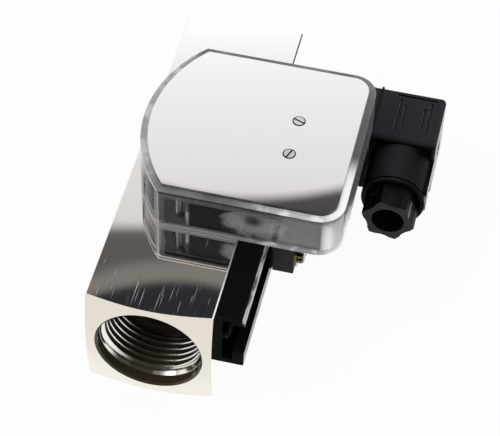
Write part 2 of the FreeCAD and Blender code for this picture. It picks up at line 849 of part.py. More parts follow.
def make_bracket_screws():
    """Two slotted screws that hold the bracket on the slider."""
    top = "slider_top + bracket_thickness"
    crown = f"{top} + bracket_screw_crown"
    middle = f"({SLIDER_LEFT} + slider_depth / 2)"
    screws = []
    for i, sign in enumerate(("-1", "1"), 1):
        spot = f"{sign} * bracket_screw_place"
        blank = turned(f"bracket_screw_{i}_blank", "Z", middle, spot, [
            ("slider_top - bracket_screw_grip", "0"),
            ("slider_top - bracket_screw_grip", "face_screw_shank"),
            (top, "face_screw_shank"),
            (top, "face_screw_head"),
            (f"{crown} - crown_bevel", "face_screw_head"),
            (crown, "face_screw_head - crown_bevel"),
            (crown, "0"),
        ])
        slot = box(
            f"bracket_screw_{i}_slot",
            (f"{middle} - face_screw_head", f"{spot} - slot_width / 2", f"{crown} - slot_depth"),
            (f"{middle} + face_screw_head", f"{spot} + slot_width / 2", f"{crown} + slot_depth"),
        )
        screws.append(cut(f"bracket_screw_{i}", blank, [slot]))
    return keep(group("bracket_screws", screws))


def make_axle():
    collar = "slider_top + bracket_thickness + running_gap"
    return keep(turned("pointer_axle", "Z", "pivot_place", "0", [
        ("axle_low", "0"),
        ("axle_low", "axle_radius"),
        (collar, "axle_radius"),
        (collar, "axle_collar"),
        ("arm_low", "axle_collar"),
        ("arm_low", "axle_radius"),
        ("axle_high", "axle_radius"),
        ("axle_high", "0"),
    ]))


def swing_to_rest(body):
    """Turn a piece drawn about the pivot to the pointer's place at no flow."""
    place(body, "pivot_place", "0", "0")
    body.Placement.Rotation = FreeCAD.Rotation(Z_AXIS, number("pointer_rest"))
    body.setExpression("Placement.Rotation.Angle", size("pointer_rest"))


def make_pointer():
    """Tapered arm with a hub, a short tail and an upright flag in front of the scale."""
    body = new_body("pointer_arm")
    plan = sketch_on(body, "arm_plan", "XY_Plane", ("0", "0", "arm_low"))
    polygon(plan, [
        ("-arm_reach", "-arm_tip"),
        ("0", "-arm_root"),
        ("arm_tail", "-arm_root"),
        ("arm_tail", "arm_root"),
        ("0", "arm_root"),
        ("-arm_reach", "arm_tip"),
    ])
    pad(body, plan, "arm_thickness")
    hub = sketch_on(body, "arm_hub_plan", "XY_Plane", ("0", "0", "arm_low"))
    circle(hub, "0", "0", "arm_hub")
    pad(body, hub, "arm_hub_height")
    flag = sketch_on(body, "flag_plan", "XY_Plane", ("0", "0", "arm_low"))
    rectangle(flag, "-arm_reach", "-flag_half", "-arm_reach + flag_thickness", "flag_half")
    pad(body, flag, "flag_top - arm_low")
    hole = sketch_on(body, "arm_hole", "XY_Plane", ("0", "0", "arm_low + arm_hub_height"))
    circle(hole, "0", "0", "axle_radius + seat_gap")
    pocket(body, hole, "arm_hub_height")
    swing_to_rest(body)
    return keep(body)


def make_follower():
    """Disc magnet under the arm, drawn along by the piston's ring magnet."""
    body = new_body("follower_magnet")
    plan = sketch_on(body, "follower_plan", "XY_Plane", ("0", "0", "arm_low"))
    circle(plan, "-follower_reach", "0", "follower_radius")
    pad(body, plan, "follower_height", reverse=True)
    swing_to_rest(body)
    return keep(body)


def make_drum():
    """Scale carrier: an inverted tray with a foot, open on the right and slotted for the arm."""
    body = new_body("scale_drum")
    plan = sketch_on(body, "drum_plan", "XY_Plane", ("0", "0", "drum_foot"))
    sector(plan, "drum_radius", "drum_half", "drum_right")
    pad(body, plan, "roof_low - drum_foot")
    foot = sketch_on(body, "drum_foot_plan", "XY_Plane", ("0", "0", "drum_foot"))
    sector(foot, "drum_flange", "drum_half", "drum_right")
    pad(body, foot, "drum_flange_thickness")
    inside = sketch_on(body, "drum_inside", "XY_Plane", ("0", "0", "drum_foot"))
    sector(inside, "drum_radius - drum_wall", "drum_half - drum_wall", "drum_right + overrun")
    pocket(body, inside, "roof_low - drum_foot - drum_wall", reverse=True)
    gap_low = "(drum_foot + drum_flange_thickness)"
    gap = sketch_on(body, "drum_arm_gap", "XY_Plane", ("0", "0", gap_low))
    reach = "(drum_half - drum_wall)"
    rectangle(gap, "pivot_place - drum_radius - overrun", f"-{reach}", "pivot_place", reach)
    pocket(body, gap, f"drum_low - {gap_low}", reverse=True)
    bosses = sketch_on(body, "drum_bosses", "XY_Plane", ("0", "0", "post_top"))
    for sign in ("-1", "1"):
        circle(bosses, "pivot_place", f"post_shift + {sign} * post_spacing / 2", "post_radius")
    circle(bosses, "pivot_place", "0", "drum_centre_boss")
    pad(body, bosses, "roof_low - post_top - drum_wall / 2")
    holes = sketch_on(body, "drum_holes", "XY_Plane", ("0", "0", "roof_low"))
    for sign in ("-1", "1"):
        spot = f"post_shift + {sign} * post_spacing / 2"
        circle(holes, "pivot_place", spot, "face_screw_shank + free_gap")
    pocket(body, holes, "roof_low - post_top")
    bearing = sketch_on(body, "drum_bearing", "XY_Plane", ("0", "0", "post_top"))
    circle(bearing, "pivot_place", "0", "axle_radius + running_gap")
    pocket(body, bearing, "axle_high - post_top + running_gap", reverse=True)
    return keep(body)


def sector_block(name, inset, low, high):
    """A solid of the hood's outline, drawn in by an inset, between two heights."""
    body = new_body(name)
    plan = sketch_on(body, name + "_plan", "XY_Plane", ("0", "0", low))
    sector(plan, f"hood_radius - {inset}", f"hood_half - {inset}", f"hood_right - {inset}")
    pad(body, plan, f"{high} - {low}")
    pivot = number("pivot_place")
    round_edges(body, f"hood_corner - {inset}", lambda edge: upright(edge) > pivot)
    return body


def make_hood():
    """Clear moulded hood: curved window wall, roof, and a rim round the face plate's recess."""
    outside = sector_block("hood_outside", "0", "hood_low", "hood_top")
    pivot = number("pivot_place")
    round_edges(outside, "hood_left_corner", lambda edge: upright(edge) < pivot)
    tools = [
        sector_block("hood_inside", "hood_wall", "hood_low", "roof_low"),
        sector_block("hood_recess", "hood_wall", PLATE_LOW, "hood_top"),
    ]
    for i, sign in enumerate(("-1", "1"), 1):
        start = ("pivot_place", f"post_shift + {sign} * post_spacing / 2", "roof_low")
        depth = f"{PLATE_LOW} - roof_low"
        tools.append(rod(f"hood_hole_{i}", "Z", start, "face_screw_shank + free_gap", depth))
    return keep(cut("hood", outside, tools))


def make_face_plate():
    """Polished plate that closes the top of the hood, countersunk for its two screws."""
    blank = sector_block("face_blank", "(hood_wall + plate_play)", PLATE_LOW, PLATE_TOP)
    tools = []
    for i, sign in enumerate(("-1", "1"), 1):
        spot = f"post_shift + {sign} * post_spacing / 2"
        tools.append(turned(f"face_countersink_{i}", "Z", "pivot_place", spot, [
            (f"{PLATE_LOW} - overrun", "0"),
            (f"{PLATE_LOW} - overrun", "face_screw_shank + running_gap"),
            (PLATE_LOW, "face_screw_shank + running_gap"),
            (f"{PLATE_TOP} - face_screw_proud", "face_screw_head + face_screw_play"),
            (f"{PLATE_TOP} + overrun", "face_screw_head + face_screw_play"),
            (f"{PLATE_TOP} + overrun", "0"),
        ]))
    return keep(cut("face_plate", blank, tools))


def make_face_screws():
    """Two slotted countersunk screws through the plate, roof and drum into the bracket's posts."""
    crown = f"{PLATE_TOP} + face_screw_proud"
    screws = []
    for i, (sign, turn) in enumerate((("-1", 69.0), ("1", -20.0)), 1):
        spot = f"post_shift + {sign} * post_spacing / 2"
        blank = turned(f"face_screw_{i}_blank", "Z", "pivot_place", spot, [
            ("face_screw_low", "0"),
            ("face_screw_low", "face_screw_shank"),
            (PLATE_LOW, "face_screw_shank"),
            (f"{PLATE_TOP} - face_screw_proud", "face_screw_head"),
            (crown, "face_screw_head"),
            (crown, "0"),
        ])
        slot = doc.addObject("Part::Box", f"face_screw_{i}_slot")
        spin = FreeCAD.Rotation(Z_AXIS, turn)
        slot.Placement.Rotation = spin
        reach = number("face_screw_head + overrun")
        corner = spin.multVec(FreeCAD.Vector(-reach, -number("slot_width") / 2, 0))
        length = "2 * (face_screw_head + overrun)"
        bind(slot, Length=length, Width="slot_width", Height="slot_depth + overrun")
        place(slot, f"pivot_place + {corner.x}", f"{spot} + {corner.y}", f"{crown} - slot_depth")
        screws.append(cut(f"face_screw_{i}", blank, [slot]))
    return keep(group("face_screws", screws))


def make_terminal_box():
    """Hollow box behind the slider that carries the plug's base."""
    body = new_body("terminal_box")
    plan = sketch_on(body, "box_plan", "XY_Plane", ("0", "0", "box_low"))
    rectangle(plan, SLIDER_RIGHT, "box_near", "box_right", "box_far")
    pad(body, plan, "box_top - box_low - cover_thickness")
    inside = sketch_on(body, "box_inside", "XY_Plane", ("0", "0", "box_low + box_wall"))
    rectangle(
        inside,
        f"{SLIDER_RIGHT} + box_wall",
        "box_near + box_wall",
        "box_right - box_wall",
        "box_far - box_wall",
    )
    pocket(body, inside, "box_top - box_low", reverse=True)
    window = sketch_on(body, "box_window", "YZ_Plane", ("0", "0", "box_right"))
    rectangle(
        window,
        f"{PLUG_MID} - window_half_width",
        "gland_height - window_half_height",
        f"{PLUG_MID} + window_half_width",
        "gland_height + window_half_height",
    )
    pocket(body, window, "box_wall")
    return keep(body)


def make_box_cover():
    """Lid with a rim that drops into the terminal box."""
    lid_low = "(box_top - cover_thickness)"
    lid = box(
        "cover_lid",
        (SLIDER_RIGHT, "box_near", lid_low),
        ("box_right", "box_far", "box_top"),
    )
    inset = "(box_wall + running_gap)"
    rim = box(
        "cover_rim",
        (f"{SLIDER_RIGHT} + {inset}", f"box_near + {inset}", f"{lid_low} - cover_rim_depth"),
        (f"box_right - {inset}", f"box_far - {inset}", lid_low),
    )
    return keep(fuse("box_cover", [lid, rim]))


def blade_spots():
    """Places and directions of the three contact blades: two live, one earth."""
    half = "blade_spacing / 2"
    return [
        (PLUG_MID, f"gland_height - {half}", "Y"),
        (PLUG_MID, f"gland_height + {half}", "Y"),
        (f"{PLUG_MID} - earth_place", "gland_height", "Z"),
    ]


def blade_box(name, spot, gap, low, high):
    """One flat blade, or the slot for it, grown by a gap."""
    y, z, direction = spot
    wide = f"(blade_width / 2 + {gap})"
    thin = f"(blade_thickness / 2 + {gap})"
    along_y = wide if direction == "Y" else thin
    along_z = thin if direction == "Y" else wide
    start = (low, f"{y} - {along_y}", f"{z} - {along_z}")
    end = (high, f"{y} + {along_y}", f"{z} + {along_z}")
    return box(name, start, end)


def make_plug_base():
    """Flange on the terminal box with the contact carrier behind it."""
    flange = box(
        "base_flange",
        ("box_right", "plug_near - flange_near", "plug_low - flange_low"),
        ("box_right + flange_thickness", "plug_far + flange_far", "plug_top - flange_top"),
    )
    half_width = "(window_half_width - running_gap)"
    half_height = "(window_half_height - running_gap)"
    carrier = box(
        "base_carrier",
        ("plug_screw_end - overrun", f"{PLUG_MID} - {half_width}", f"gland_height - {half_height}"),
        ("box_right", f"{PLUG_MID} + {half_width}", f"gland_height + {half_height}"),
    )
    tools = [
        blade_box(f"base_slot_{i}", spot, "seat_gap", "blade_low", "blade_high")
        for i, spot in enumerate(blade_spots(), 1)
    ]
    tap = ("blade_low", PLUG_MID, "gland_height")
    length = f"{PLUG_LEFT} - blade_low"
    tools.append(rod("base_tap", "X", tap, "plug_screw_shank + running_gap", length))
    return keep(cut("plug_base", fuse("base_blank", [flange, carrier]), tools))


def make_blades():
    blades = [
        blade_box(f"blade_{i}", spot, "0", "blade_low", "blade_high")
        for i, spot in enumerate(blade_spots(), 1)
    ]
    return keep(group("contact_blades", blades))


def make_gasket():
    """Flat rubber frame between the flange and the plug."""
    left = "box_right + flange_thickness"
    right = f"{left} + gasket_thickness"
    outside = box("gasket_outside", (left, "plug_near", "plug_low"), (right, "plug_far", "plug_top"))
    inside = box(
        "gasket_inside",
        (f"{left} - overrun", "plug_near + plug_wall", "plug_low + plug_wall"),
        (f"{right} + overrun", "plug_far - plug_wall", "plug_top - plug_wall"),
    )
    return keep(cut("plug_gasket", outside, [inside]))


def make_plug_housing():
    """Moulded plug: a hollow block with a round, grooved gland boss and a flat ridge along it."""
    body = new_body("plug_housing")
    face = sketch_on(body, "plug_face", "YZ_Plane", ("0", "0", PLUG_LEFT))
    rectangle(face, "plug_near", "plug_low", "plug_far", "plug_top")
    pad(body, face, f"plug_right - {PLUG_LEFT}")
    round_edges(body, "plug_edge", lambda edge: along_x(edge) or on_right(edge))
    boss = sketch_on(body, "gland_boss", "XZ_Plane", ("0", "0", "-boss_near"))
    circle(boss, "gland_place", "gland_height", "boss_radius")
    pad(body, boss, "plug_near - boss_near + plug_edge", reverse=True)
    rim = number("boss_near")
    round_edges(body, "boss_round", lambda edge: abs(edge.CenterOfMass.y - rim) < 1e-4)
    neck = sketch_on(body, "boss_groove_face", "XZ_Plane", ("0", "0", "-boss_groove_place"))
    circle(neck, "gland_place", "gland_height", "boss_radius + overrun")
    circle(neck, "gland_place", "gland_height", "boss_radius - boss_groove")
    pocket(body, neck, "boss_groove_width")
    ridge = sketch_on(body, "gland_ridge", "XZ_Plane", ("0", "0", "-ridge_near"))
    rectangle(
        ridge,
        "gland_place",
        "gland_height - ridge_half",
        "plug_right",
        "gland_height + ridge_half",
    )
    pad(body, ridge, "plug_near - ridge_near + plug_edge", reverse=True)
    inside = sketch_on(body, "plug_inside", "YZ_Plane", ("0", "0", PLUG_LEFT))
    rectangle(
        inside,
        "plug_near + plug_wall",
        "plug_low + plug_wall",
        "plug_far - plug_wall",
        "plug_top - plug_wall",
    )
    pocket(body, inside, f"plug_right - plug_lid - {PLUG_LEFT}", reverse=True)
    way = sketch_on(body, "gland_way", "XZ_Plane", ("0", "0", "-boss_near"))
    circle(way, "gland_place", "gland_height", "cable_radius + free_gap")
    pocket(body, way, "plug_near + plug_wall - boss_near")
    seat = sketch_on(body, "seal_seat_face", "XZ_Plane", ("0", "0", "-boss_near"))
    circle(seat, "gland_place", "gland_height", "seal_seat")
    pocket(body, seat, "nut_recess_depth + seal_depth")
    recess = sketch_on(body, "nut_recess_face", "XZ_Plane", ("0", "0", "-boss_near"))
    circle(recess, "gland_place", "gland_height", "nut_recess")
    pocket(body, recess, "nut_recess_depth")
    sink = sketch_on(body, "screw_sink", "YZ_Plane", ("0", "0", "plug_right"))
    circle(sink, PLUG_MID, "gland_height", "plug_screw_head + free_gap")
    pocket(body, sink, "plug_screw_sink")
    hole = sketch_on(body, "screw_hole", "YZ_Plane", ("0", "0", "plug_right"))
    circle(hole, PLUG_MID, "gland_height", "plug_screw_shank + running_gap")
    pocket(body, hole, "plug_lid")
    grip = sketch_on(body, "grip_lines", "XY_Plane", ("0", "0", "plug_top"))
    for left, near, right, far in grip_outlines():
        rectangle(grip, left, near, right, far)
    pocket(body, grip, "grip_depth")
    return keep(body)


def grip_outlines():
    """Sunk lines on the plug's top: two on each side and one along the far edge."""
    lines = []
    for side in ("-1", "1"):
        for step, half in (("0", "grip_long"), ("1", "grip_short")):
            middle = f"grip_middle + {side} * (grip_reach - {step} * grip_pitch)"
            lines.append((
                f"{middle} - grip_width / 2",
                f"{PLUG_MID} - {half}",
                f"{middle} + grip_width / 2",
                f"{PLUG_MID} + {half}",
            ))
    lines.append((
        "grip_middle - frame_reach",
        "frame_place",
        "grip_middle + frame_reach",
        "frame_place + grip_width",
    ))
    return lines


def along_x(edge):
    start = edge.Vertexes[0].Point
    end = edge.Vertexes[-1].Point
    return abs(start.x - end.x) > 1


def on_right(edge):
    return abs(edge.CenterOfMass.x - number("plug_right")) < 1e-4


def make_contact_insert():
    """Terminal block inside the plug that takes the three blades."""
    margin = "(plug_wall + insert_margin)"
    left = f"({PLUG_LEFT} + free_gap)"
    blank = box(
        "insert_blank",
        (left, f"plug_near + {margin}", f"plug_low + {margin}"),
        (f"{left} + insert_depth", f"plug_far - {margin}", f"plug_top - {margin}"),
    )
    tools = [
        blade_box(f"insert_slot_{i}", spot, "running_gap", "blade_low", "blade_high + free_gap")
        for i, spot in enumerate(blade_spots(), 1)
    ]
    start = ("plug_screw_end", PLUG_MID, "gland_height")
    length = "plug_right - plug_screw_end"
    tools.append(rod("insert_hole", "X", start, "plug_screw_shank + free_gap", length))
    return keep(cut("contact_insert", blank, tools))


def make_plug_screw():
    """Long slotted screw that holds the plug on its base."""
    seat = "plug_right - plug_screw_sink + running_gap"
    crown = "plug_right + plug_screw_proud"
    blank = turned("plug_screw_blank", "X", PLUG_MID, "gland_height", [
        ("plug_screw_end", "0"),
        ("plug_screw_end", "plug_screw_shank"),
        (seat, "plug_screw_shank"),
        (seat, "plug_screw_head"),
        (crown, "plug_screw_head"),
        (crown, "0"),
    ])
    reach = "plug_screw_head"
    slot = box(
        "plug_screw_slot",
        (f"{crown} - 2 * slot_depth", f"{PLUG_MID} - {reach}", "gland_height - slot_width / 2"),
        (f"{crown} + slot_depth", f"{PLUG_MID} + {reach}", "gland_height + slot_width / 2"),
    )
    return keep(cut("plug_screw", blank, [slot]))


def make_gland_washer():
    start = ("gland_place", f"{NUT_SEAT} + seat_gap", "gland_height")
    outer = "seal_seat - seat_gap"
    inner = "cable_radius + free_gap"
    return keep(tube("gland_washer", "Y", start, outer, inner, "washer_thickness"))


def make_gland_seal():
    """Rubber ring with a coned bore that the nut squeezes round the cable."""
    low = f"({NUT_SEAT} + seat_gap + washer_thickness)"
    high = f"({NUT_SEAT} + seal_depth)"
    outer = "seal_seat - seat_gap"
    return keep(turned("gland_seal", "Y", "gland_place", "gland_height", [
        (low, "seal_mouth"),
        (low, outer),
        (high, outer),
        (high, "seal_mouth"),
        (f"({low} + {high}) / 2", "seal_inner"),
    ]))


def make_gland_nut():
    """Hexagonal gland nut with a hollowed grip in each flat."""
    length = f"{NUT_SEAT} - nut_near - running_gap"
    hexagon = doc.addObject("Part::Prism", "nut_hexagon")
    hexagon.Polygon = 6
    upright_turn = FreeCAD.Rotation(X_AXIS, -90)
    spin = FreeCAD.Rotation(Y_AXIS, -number("nut_turn"))
    hexagon.Placement.Rotation = spin.multiply(upright_turn)
    bind(hexagon, Circumradius="nut_corner", Height=length)
    place(hexagon, "gland_place", "nut_near", "gland_height")
    start = ("gland_place", "nut_near - overrun", "gland_height")
    tools = [rod("nut_hole", "Y", start, "cable_radius", f"{length} + 2 * overrun")]
    flat = number("nut_corner") * 0.75 ** 0.5
    away = flat - number("scallop_depth") + number("scallop_radius")
    for i in range(6):
        side = FreeCAD.Rotation(Y_AXIS, -number("nut_turn") + 30 + 60 * i).multVec(X_AXIS)
        x, z = side.x * away, side.z * away
        spot = (f"gland_place + {x}", "nut_near - overrun", f"gland_height + {z}")
        reach = "boss_near - nut_near - overrun"
        tools.append(rod(f"nut_scallop_{i + 1}", "Y", spot, "scallop_radius", reach))
    return keep(cut("gland_nut", hexagon, tools))


make_flow_body()
make_rail()
make_rail_screws()
make_metering_sleeve()
make_spider("inlet_spider", f"-{SEAT}")
make_spider("outlet_spider", SLEEVE_END)
make_guide_rod()
make_retaining_ring()
make_piston()
make_ring_magnet()
make_magnet_clip()
make_spring()
make_slider()
make_reed()
make_nut_bar()
make_clamp_screw()
make_bracket()
make_bracket_screws()
make_axle()
make_pointer()
make_follower()
make_drum()
make_hood()
make_face_plate()
make_face_screws()
make_terminal_box()
make_box_cover()
make_plug_base()
make_blades()
make_gasket()
make_plug_housing()
make_contact_insert()
make_plug_screw()
make_gland_washer()
make_gland_seal()
make_gland_nut()
doc.recompute()

faults = [item.Name for item in doc.Objects if {"Invalid", "Error"} & set(item.State)]
faults += [item.Label for item in parts if item.Shape.isNull() or not item.Shape.isValid()]
if faults:
    raise RuntimeError("failed objects: " + ", ".join(faults))
os.makedirs("parts", exist_ok=True)
for item in parts:
    item.Shape.exportStep(f"parts/{item.Label}.step")
    print(f"{item.Label}: {item.Shape.Volume:.0f} mm3, {len(item.Shape.Solids)} solid(s)")
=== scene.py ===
# %% [markdown]
# A flow meter is a nickel-plated metal block with a clear indicator hood, a rail and a plug.
# The solid model already gives every piece its place, so this lesson only dresses it: a camera,
# light, finishes, and the surfaces that a solid model keeps plain, such as the pipe thread.

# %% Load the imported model
import json
import math

import bpy
import numpy as np
from mathutils import Matrix


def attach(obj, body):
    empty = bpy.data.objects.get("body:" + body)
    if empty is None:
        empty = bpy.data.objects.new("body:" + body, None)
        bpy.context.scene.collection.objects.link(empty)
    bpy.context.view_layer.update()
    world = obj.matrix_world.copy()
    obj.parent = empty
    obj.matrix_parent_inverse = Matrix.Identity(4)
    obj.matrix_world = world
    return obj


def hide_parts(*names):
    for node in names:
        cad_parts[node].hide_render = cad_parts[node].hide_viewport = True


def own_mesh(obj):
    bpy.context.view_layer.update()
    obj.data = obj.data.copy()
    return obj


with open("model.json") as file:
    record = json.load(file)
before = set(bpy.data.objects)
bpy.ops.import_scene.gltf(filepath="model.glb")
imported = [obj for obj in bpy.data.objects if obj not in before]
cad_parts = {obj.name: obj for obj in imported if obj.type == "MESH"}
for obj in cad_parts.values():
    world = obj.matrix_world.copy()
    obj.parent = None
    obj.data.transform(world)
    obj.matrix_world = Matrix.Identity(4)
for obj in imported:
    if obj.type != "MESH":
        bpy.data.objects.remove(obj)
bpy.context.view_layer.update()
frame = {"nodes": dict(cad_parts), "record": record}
MM = 0.001

# %% [markdown]
# The camera, the lamps, the floor and the new pieces are all objects. A constraint could aim a
# camera or a lamp, but three plain axes and a position say the same and can be checked by eye, so
# these helpers work with them.

# %% Helpers for objects


def new_object(name, data):
    """An object at the origin that shows the data, linked to the scene."""
    item = bpy.data.objects.new(name, data)
    bpy.context.scene.collection.objects.link(item)
    return item


def level_axes(backward):
    """Right, up and backward: right is level, and up is square to the other two."""
    backward = np.array(backward) / np.linalg.norm(backward)
    right = np.cross([0.0, 0.0, 1.0], backward)
    right /= np.linalg.norm(right)
    return np.array([right, np.cross(backward, right), backward])


def placed(axes, position):
    """A 4 by 4 matrix: the axes fill its first three columns, and the position the last."""
    matrix = np.eye(4)
    matrix[:3, :3] = axes.T
    matrix[:3, 3] = position
    return Matrix(matrix.tolist())


def flat_mesh(name, left, right, near, far):
    """A rectangle at height 0."""
    mesh = bpy.data.meshes.new(name)
    corners = [(left, near, 0.0), (right, near, 0.0), (right, far, 0.0), (left, far, 0.0)]
    mesh.from_pydata(corners, [], [(0, 1, 2, 3)])
    return mesh


print("object helpers ready")

# %% [markdown]
# The camera stands where the photograph was taken. Its angles were fitted to the corners of the
# square block, so no lens shift is needed. A constraint could aim it at the block instead, but it
# would level the camera and lose the small roll that the fit found.

# %% Camera
AZIMUTH, ELEVATION, ROLL = (math.radians(angle) for angle in (11.668, 49.057, 2.059))
CAMERA_OFFSET = np.array([16.333, -7.176, 618.298]) * MM
FLOW_HEIGHT = 20.0
BLOCK_CENTRE = np.array([0.0, 0.0, FLOW_HEIGHT]) * MM
FOCAL_PIXELS, IMAGE_WIDTH = 1869.353, 500
SENSOR_WIDTH, CLIP_START = 36.0, 0.01


def camera_axes():
    """Spherical angles give backward, and the roll turns right and up about it."""
    level = math.cos(ELEVATION)
    right, up, backward = level_axes([
        math.sin(AZIMUTH) * level,
        -math.cos(AZIMUTH) * level,
        math.sin(ELEVATION),
    ])
    turn, lean = math.cos(ROLL), math.sin(ROLL)
    return np.array([turn * right + lean * up, turn * up - lean * right, backward])


axes = camera_axes()
camera_data = bpy.data.cameras.new("photo_camera")
camera_data.sensor_width = SENSOR_WIDTH
camera_data.lens = FOCAL_PIXELS / IMAGE_WIDTH * SENSOR_WIDTH
camera_data.clip_start = CLIP_START
camera = new_object("photo_camera", camera_data)
camera.matrix_world = placed(axes, BLOCK_CENTRE + axes.T @ CAMERA_OFFSET)
bpy.context.scene.camera = camera
bpy.context.scene.view_settings.view_transform = "Standard"
print("camera at", np.round(camera.matrix_world.translation, 4), "lens", round(camera_data.lens, 2))

# %% [markdown]
# Every finish below is a node tree. It could be drawn by hand in the shader editor; these helpers
# make a material, add a node with its values, and join sockets, so that each recipe reads as a
# short list of steps instead.

# %% Helpers for node trees


def recipe(material):
    """A material's tree and its Principled shader."""
    return material.node_tree, material.node_tree.nodes["Principled BSDF"]


def new_material(name):
    """A new material with its tree and its Principled shader."""
    material = bpy.data.materials.new(name)
    material.use_nodes = True
    return material, *recipe(material)


def add(tree, kind, inputs=None, **settings):
    """A node with its settings and its input values."""
    node = tree.nodes.new(kind)
    for name, value in settings.items():
        setattr(node, name, value)
    for name, value in (inputs or {}).items():
        node.inputs[name].default_value = value
    return node


def join(tree, start, end):
    """A link from an output to an input."""
    tree.links.new(start, end)


def feed(tree, socket, value):
    """A number or a colour is set on the socket, and another node's output is joined to it."""
    if isinstance(value, bpy.types.NodeSocket):
        join(tree, value, socket)
    else:
        socket.default_value = value


def rgb(red, green, blue):
    """A colour as a socket holds it, with full alpha."""
    return (red, green, blue, 1.0)


def plain(shader, **values):
    """Set constant values on a shader's own sockets; underscores stand for spaces."""
    for name, value in values.items():
        shader.inputs[name.replace("_", " ")].default_value = value


def show(tree, node):
    """Join a shader node to the material's output."""
    join(tree, node.outputs[0], tree.nodes["Material Output"].inputs["Surface"])


def show_mixed(tree, factor, first, second):
    """Show the first shader where the factor is 0, and the second where it is 1."""
    blend = add(tree, "ShaderNodeMixShader")
    for socket, start in zip(blend.inputs, (factor, first.outputs[0], second.outputs[0])):
        join(tree, start, socket)
    show(tree, blend)


print("node helpers ready")

# %% [markdown]
# A finish changes over a surface by masks: values that are 1 in one place and 0 in another. A mask
# could be painted on an image, but Math and Map Range nodes can work it out, and then it stays
# sharp at any distance. A Mix node lays a colour wherever a mask is 1.

# %% Masks and colours


def calc(tree, operation, *values):
    """One step of arithmetic as a Math node."""
    node = add(tree, "ShaderNodeMath", operation=operation)
    for socket, value in zip(node.inputs, values):
        feed(tree, socket, value)
    return node.outputs[0]


def both(tree, first, second):
    """The product of two masks: 1 only where both are 1."""
    return calc(tree, "MULTIPLY", first, second)


def either(tree, first, second):
    """The larger of two masks: 1 where one of them is 1."""
    return calc(tree, "MAXIMUM", first, second)


def except_for(tree, mask, hole):
    """The mask times (1 minus the hole)."""
    return both(tree, mask, calc(tree, "SUBTRACT", 1.0, hole))


def ramp(tree, value, low=0.0, high=1.0, start=0.0, stop=1.0, kind="LINEAR"):
    """A straight line: start at the low limit, stop at the high one, and level past them."""
    node = add(tree, "ShaderNodeMapRange", interpolation_type=kind)
    names = ("Value", "From Min", "From Max", "To Min", "To Max")
    for name, item in zip(names, (value, low, high, start, stop)):
        feed(tree, node.inputs[name], item)
    return node.outputs["Result"]


def step(tree, value, low, high, start=0.0, stop=1.0):
    """A smooth step: start below the low limit, stop above the high one."""
    return ramp(tree, value, low, high, start, stop, "SMOOTHSTEP")


def fall(tree, value, low, high):
    """A smooth step down: 1 below the low limit, 0 above the high one."""
    return step(tree, value, low, high, 1.0, 0.0)


def mix(tree, factor, first, second):
    """First colour where the factor is 0, second where it is 1."""
    node = add(tree, "ShaderNodeMix", data_type="RGBA")
    feed(tree, node.inputs["Factor"], factor)
    for name, colour in (("A", first), ("B", second)):
        socket = [item for item in node.inputs if item.name == name and item.type == "RGBA"][0]
        feed(tree, socket, rgb(*colour) if isinstance(colour, tuple) else colour)
    return [item for item in node.outputs if item.type == "RGBA"][0]


def paint(tree, shader, mask, colour):
    """Lay a colour over the shader's present base colour where the mask is 1."""
    base = shader.inputs["Base Color"]
    below = base.links[0].from_socket if base.is_linked else tuple(base.default_value)[:3]
    feed(tree, base, mix(tree, mask, below, colour))


print("mask helpers ready")

# %% [markdown]
# Masks need to know where a point is and which way its surface looks. Object coordinates are
# metres in the frame of the solid model, so a limit can be read off a drawing, and a pattern stays
# with its piece when a joint moves. Noise on the same coordinates breaks up what is too even.

# %% Places, directions and noise


def split(tree, vector):
    """X, Y and Z of a vector."""
    node = add(tree, "ShaderNodeSeparateXYZ")
    join(tree, vector, node.inputs[0])
    return tuple(node.outputs)


def parts_of(tree, output):
    """X, Y and Z of a texture coordinate: Object is the place in metres, Normal the direction."""
    return split(tree, add(tree, "ShaderNodeTexCoord").outputs[output])


def room_normal(tree):
    """X, Y and Z of the direction that a surface looks in the room, also when its piece turns."""
    return split(tree, add(tree, "ShaderNodeNewGeometry").outputs["Normal"])


def grazing(tree, start, stop):
    """0 where a surface is seen face on, 1 where it is seen edgeways and shines."""
    weight = add(tree, "ShaderNodeLayerWeight", {"Blend": 0.5})
    return step(tree, weight.outputs["Facing"], start, stop)


def distance(tree, first, second):
    """The square root of the sum of two squares."""
    square = calc(tree, "MULTIPLY_ADD", first, first, calc(tree, "MULTIPLY", second, second))
    return calc(tree, "SQRT", square)


def parabola(tree, value, middle, height, slope, bend):
    """height + slope times s + bend times s squared, where s is the value less the middle."""
    s = calc(tree, "SUBTRACT", value, middle)
    return calc(tree, "MULTIPLY_ADD", s, calc(tree, "MULTIPLY_ADD", s, bend, slope), height)


def clouds(tree, density, detail, roughness=0.5, **mapping):
    """Noise on Object coordinates; a Mapping node's Scale or Location stretches or moves it."""
    place = add(tree, "ShaderNodeTexCoord").outputs["Object"]
    if mapping:
        moved = add(tree, "ShaderNodeMapping", mapping)
        join(tree, place, moved.inputs["Vector"])
        place = moved.outputs["Vector"]
    noise = add(tree, "ShaderNodeTexNoise", {"Detail": detail, "Roughness": roughness})
    join(tree, place, noise.inputs["Vector"])
    feed(tree, noise.inputs["Scale"], density)
    return noise.outputs["Fac"]


def ragged(tree, value, noise, amount):
    """The value plus an amount times (noise minus a half)."""
    swing = calc(tree, "MULTIPLY_ADD", noise, amount, -amount / 2.0)
    return calc(tree, "ADD", value, swing)


print("place helpers ready")

# %% [markdown]
# The room is a white sweep with a dark side behind the camera, as in most product studios.
# The camera sees white. Mirrors and clear plastic see white too, except towards the dark side,
# and that contrast is what makes polished metal look like metal. Matt surfaces get an even
# light that is a little lower, so that pale parts don't burn out.

